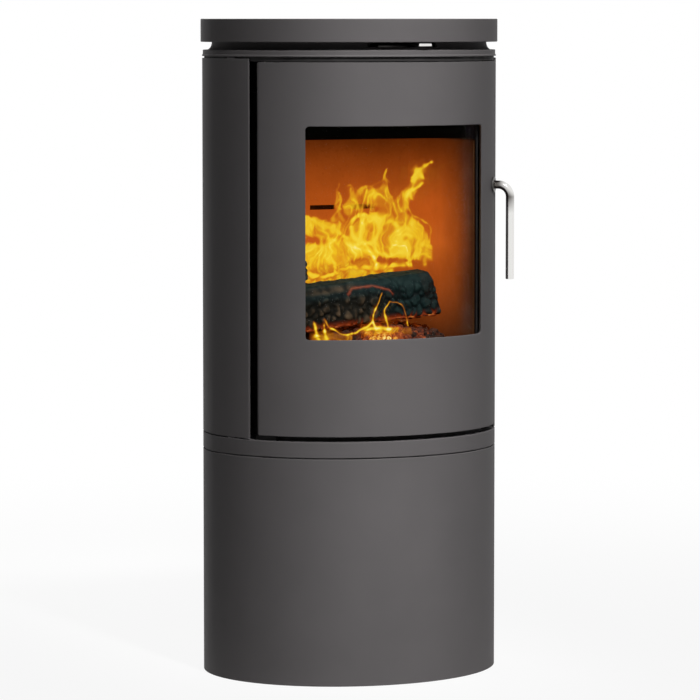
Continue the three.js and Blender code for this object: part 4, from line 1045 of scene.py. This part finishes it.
def log(name, node, centre, half, girth, turn, tilt, seed, slant=0, seam=None, brown=None):
    """A charred split log, checked into blocks by deep cracks.

    Half and girth are its half length and thickness. Slant shortens the upper side of its right end. Seam and
    brown give the glow and the browning at a point.
    """
    section = split_section(120)
    pose = Matrix.Rotation(radians(turn), 3, "Z") @ Matrix.Rotation(radians(tilt), 3, "Y")
    loops, block, browned, glow = [], [], [], []
    # rows along the log as (share of the half length, setback, scale), with rounded ends
    along = int(half * 2 / 1.9)
    caps = [(1.5, 0.02), (1.5, 0.35), (1.5, 0.7), (1.5, 0.92), (0.7, 0.985)]
    rows = [(-1, *cap) for cap in caps] + [(-1 + 2 * k / along, 0, 1) for k in range(1, along)]
    rows += [(1, *cap) for cap in caps[::-1]]
    for share, setback, scale in rows:
        loop = []
        for cosine, sine, reach in section:
            across, up = reach * girth * scale * cosine, reach * girth * scale * sine
            length = share * (half - setback)
            if share > 0.55:
                length -= slant * (up / girth + 0.5) * smooth(0.55, 1, share)
            p = Vector((length, across, up))
            q = Vector((p.x / 15, p.y / 20, p.z / 20)) + Vector((seed, 0, 0))
            q += noise.noise_vector(p / 22 + Vector((0, seed, 0))) * 0.5
            nearest, second = noise.voronoi(q)[0][:2]
            check = float(smooth(0.03, 0.34, second - nearest))
            # the upper face has charred smooth and is barely checked, so it also takes the painted sheen of
            # the block faces
            check = max(check, 0.75 * float(smooth(0.18, 0.34, up / girth)))
            fibre = noise.noise(Vector((p.x / 60, p.y / 3.2, p.z / 3.2 + seed)))
            swell = noise.noise(p / 38 + Vector((0, 0, seed))) * 2.4
            deep = 3.2 * (1 - check) + 0.6 * fibre - swell + 0.8
            outward = Vector((0, across, up)).normalized() if scale > 0.9 else Vector((share, 0, 0))
            p -= outward * max(-1, deep) * (1 if scale > 0.5 else 0.6)
            # the tone of the painted sheen: lighter on the block faces, dark in the cracks
            tone = check * (0.62 + 0.5 * noise.noise(q * 0.9 * 1.7)) + 0.15 * fibre
            block.append(min(1, max(0, tone)))
            browned.append(brown(p) if brown else 0.15)
            glow.append(seam(p, check) if seam else 0)
            loop.append(tuple(Vector(centre) + pose @ p))
        loops.append(loop)
    made = smooth_piece(name, *skin(loops, through=False), "charred_wood")
    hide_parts(node)
    values(made, block=block, brown=browned, glow=glow)


def front_seam(p, check):
    """The glowing crack along the log's front, and the heat under it."""
    if p.y > 0:
        return 0.25 * (1 - check) * float(smooth(-10, -34, p.z))
    crack = [(-44, 16), (-32, 26), (6, 26), (34, 17), (42, 9)]
    distance = far(np.array([[p.x, p.z]]), crack)[0][0]
    width = 1.5 + 1 * noise.noise(Vector((p.x / 7, p.z / 7, 2)))
    low = 0.85 * (1 - check) * float(smooth(-22, -38, p.z))
    return min(1, 0.62 * bell(distance, width) + low)


def front_brown(p):
    """Browned at the lower left and in a streak under the upper edge."""
    patch = float(smooth(60, -30, p.x)) * float(smooth(20, 2, p.z))
    streak = bell(p.z - 27, 6) * float(smooth(0, -45, p.x))
    return min(1, patch + 0.8 * streak + 0.05)


log("burning_log_front", "log_front", (-12.6, -66.1, 618.6), 138.2, 79.8, 7, -4.2, 1, 15,
    front_seam, front_brown)
log("burning_log_rear", "log_rear", (0, 46.3, 609.5), 132.6, 66.5, -4, 0, 17)
log("burning_log_top", "log_top", (-131.6, 6.6, 669.9), 83.2, 43, 90, 3.4, 29)
ember_bed()
back_fire()
main_fire()
front_fire()

pedestal()
middle_ring()
upper_ring()
top_plate()
side_panels()
door_plate()
door_glass()
ropes()
handle()
bushing()
air_tab()

# ---- stage, light and camera


def seen_rays(tree, path):
    """1 for the rays that show a background: direct, reflected or through glass."""
    value = path.outputs["Is Camera Ray"]
    for name in ("Is Glossy Ray", "Is Transmission Ray"):
        larger = tree.nodes.new("ShaderNodeMath")
        larger.operation = "MAXIMUM"
        tree.links.new(value, larger.inputs[0])
        tree.links.new(path.outputs[name], larger.inputs[1])
        value = larger.outputs[0]
    return value


def backdrop():
    """A world that shows as white and lights next to nothing."""
    world = bpy.data.worlds.new("plain")
    scene.world = world
    world.use_nodes = True
    tree = world.node_tree
    dim = tree.nodes["Background"]
    white = tree.nodes.new("ShaderNodeBackground")
    for background, strength in ((dim, 0.02), (white, 1)):
        background.inputs["Color"].default_value = (1, 1, 1, 1)
        background.inputs["Strength"].default_value = strength
    path = tree.nodes.new("ShaderNodeLightPath")
    choose = tree.nodes.new("ShaderNodeMixShader")
    tree.links.new(seen_rays(tree, path), choose.inputs[0])
    tree.links.new(dim.outputs[0], choose.inputs[1])
    tree.links.new(white.outputs[0], choose.inputs[2])
    tree.links.new(choose.outputs[0], tree.nodes["World Output"].inputs["Surface"])


def floor():
    """A pale floor that keeps some shadow near the stove and runs into white farther off."""
    reach, drop = 60, 0.0003
    mesh = bpy.data.meshes.new("floor")
    mesh.from_pydata([(-reach, -reach, 0), (reach, -reach, 0), (reach, reach, 0), (-reach, reach, 0)], [],
            [(0, 1, 2, 3)])
    obj = bpy.data.objects.new("floor", mesh)
    obj.location.z = -drop
    scene.collection.objects.link(obj)
    f = Finish("pale_floor", (0.65, 0.65, 0.647), 0.8, specular=0.2)
    glow = f.node("Emission", Color=(1, 1, 1, 1), Strength=1)
    distance = f.node("VectorMath", operation="LENGTH")
    f.link(f.coords.outputs["Object"], distance.inputs[0])
    near = f.node("MapRange", interpolation_type="SMOOTHSTEP", From_Min=0.5, From_Max=3, To_Min=0.91)
    f.link(distance.outputs["Value"], near.inputs["Value"])
    share = f.math("MULTIPLY", seen_rays(f.tree, f.node("LightPath")), near.outputs["Result"])
    mixed = f.node("MixShader")
    f.link(share, mixed.inputs[0])
    f.link(f.shader.outputs[0], mixed.inputs[1])
    f.link(glow.outputs[0], mixed.inputs[2])
    f.link(mixed.outputs[0], f.tree.nodes["Material Output"].inputs["Surface"])
    mesh.materials.append(f.material)


def direction(azimuth, elevation):
    """The way to a lamp or the camera; the azimuth runs from the front towards +X."""
    a, e = radians(azimuth), radians(elevation)
    return Vector((sin(a) * cos(e), -cos(a) * cos(e), sin(e)))


def place(name, data, position, away):
    """Place a lamp or a camera with its back to a direction."""
    obj = bpy.data.objects.new(name, data)
    scene.collection.objects.link(obj)
    obj.location = position
    obj.rotation_mode = "QUATERNION"
    obj.rotation_quaternion = away.to_track_quat("Z", "Y")
    return obj


def area(name, azimuth, elevation, distance, width, height, watts, aim=(0, 0, 0.55), spread=180):
    """A softbox in metres; spread is the angle of its beam in degrees."""
    light = bpy.data.lights.new(name, "AREA")
    light.shape = "RECTANGLE"
    light.size, light.size_y = width, height
    light.energy = watts
    light.spread = radians(spread)
    away = direction(azimuth, elevation)
    place(name, light, Vector(aim) + away * distance, away)


def photo_camera():
    """The photo's view, as fitted to the stove's edges."""
    azimuth, pitch, distance, height, shift = -25.993, 4.852, 6.534, 1.0859, 0.0008
    camera = bpy.data.cameras.new("camera")
    camera.lens = 201.6
    camera.sensor_width = 36
    camera.clip_start, camera.clip_end = 0.1, 100
    turn = radians(azimuth)
    right = Vector((cos(turn), sin(turn), 0))
    position = direction(azimuth, 0) * distance + right * shift + Vector((0, 0, height))
    scene.camera = place("camera", camera, position, direction(azimuth, pitch))


scene.view_settings.view_transform = "Standard"
backdrop()
floor()
area("key", -5, 47, 3.4, 0.3, 1.4, 3.8, (0.01, 0, 0.62), 13.5)
area("behind", 165, 38, 3.6, 1.6, 1, 45)
photo_camera()
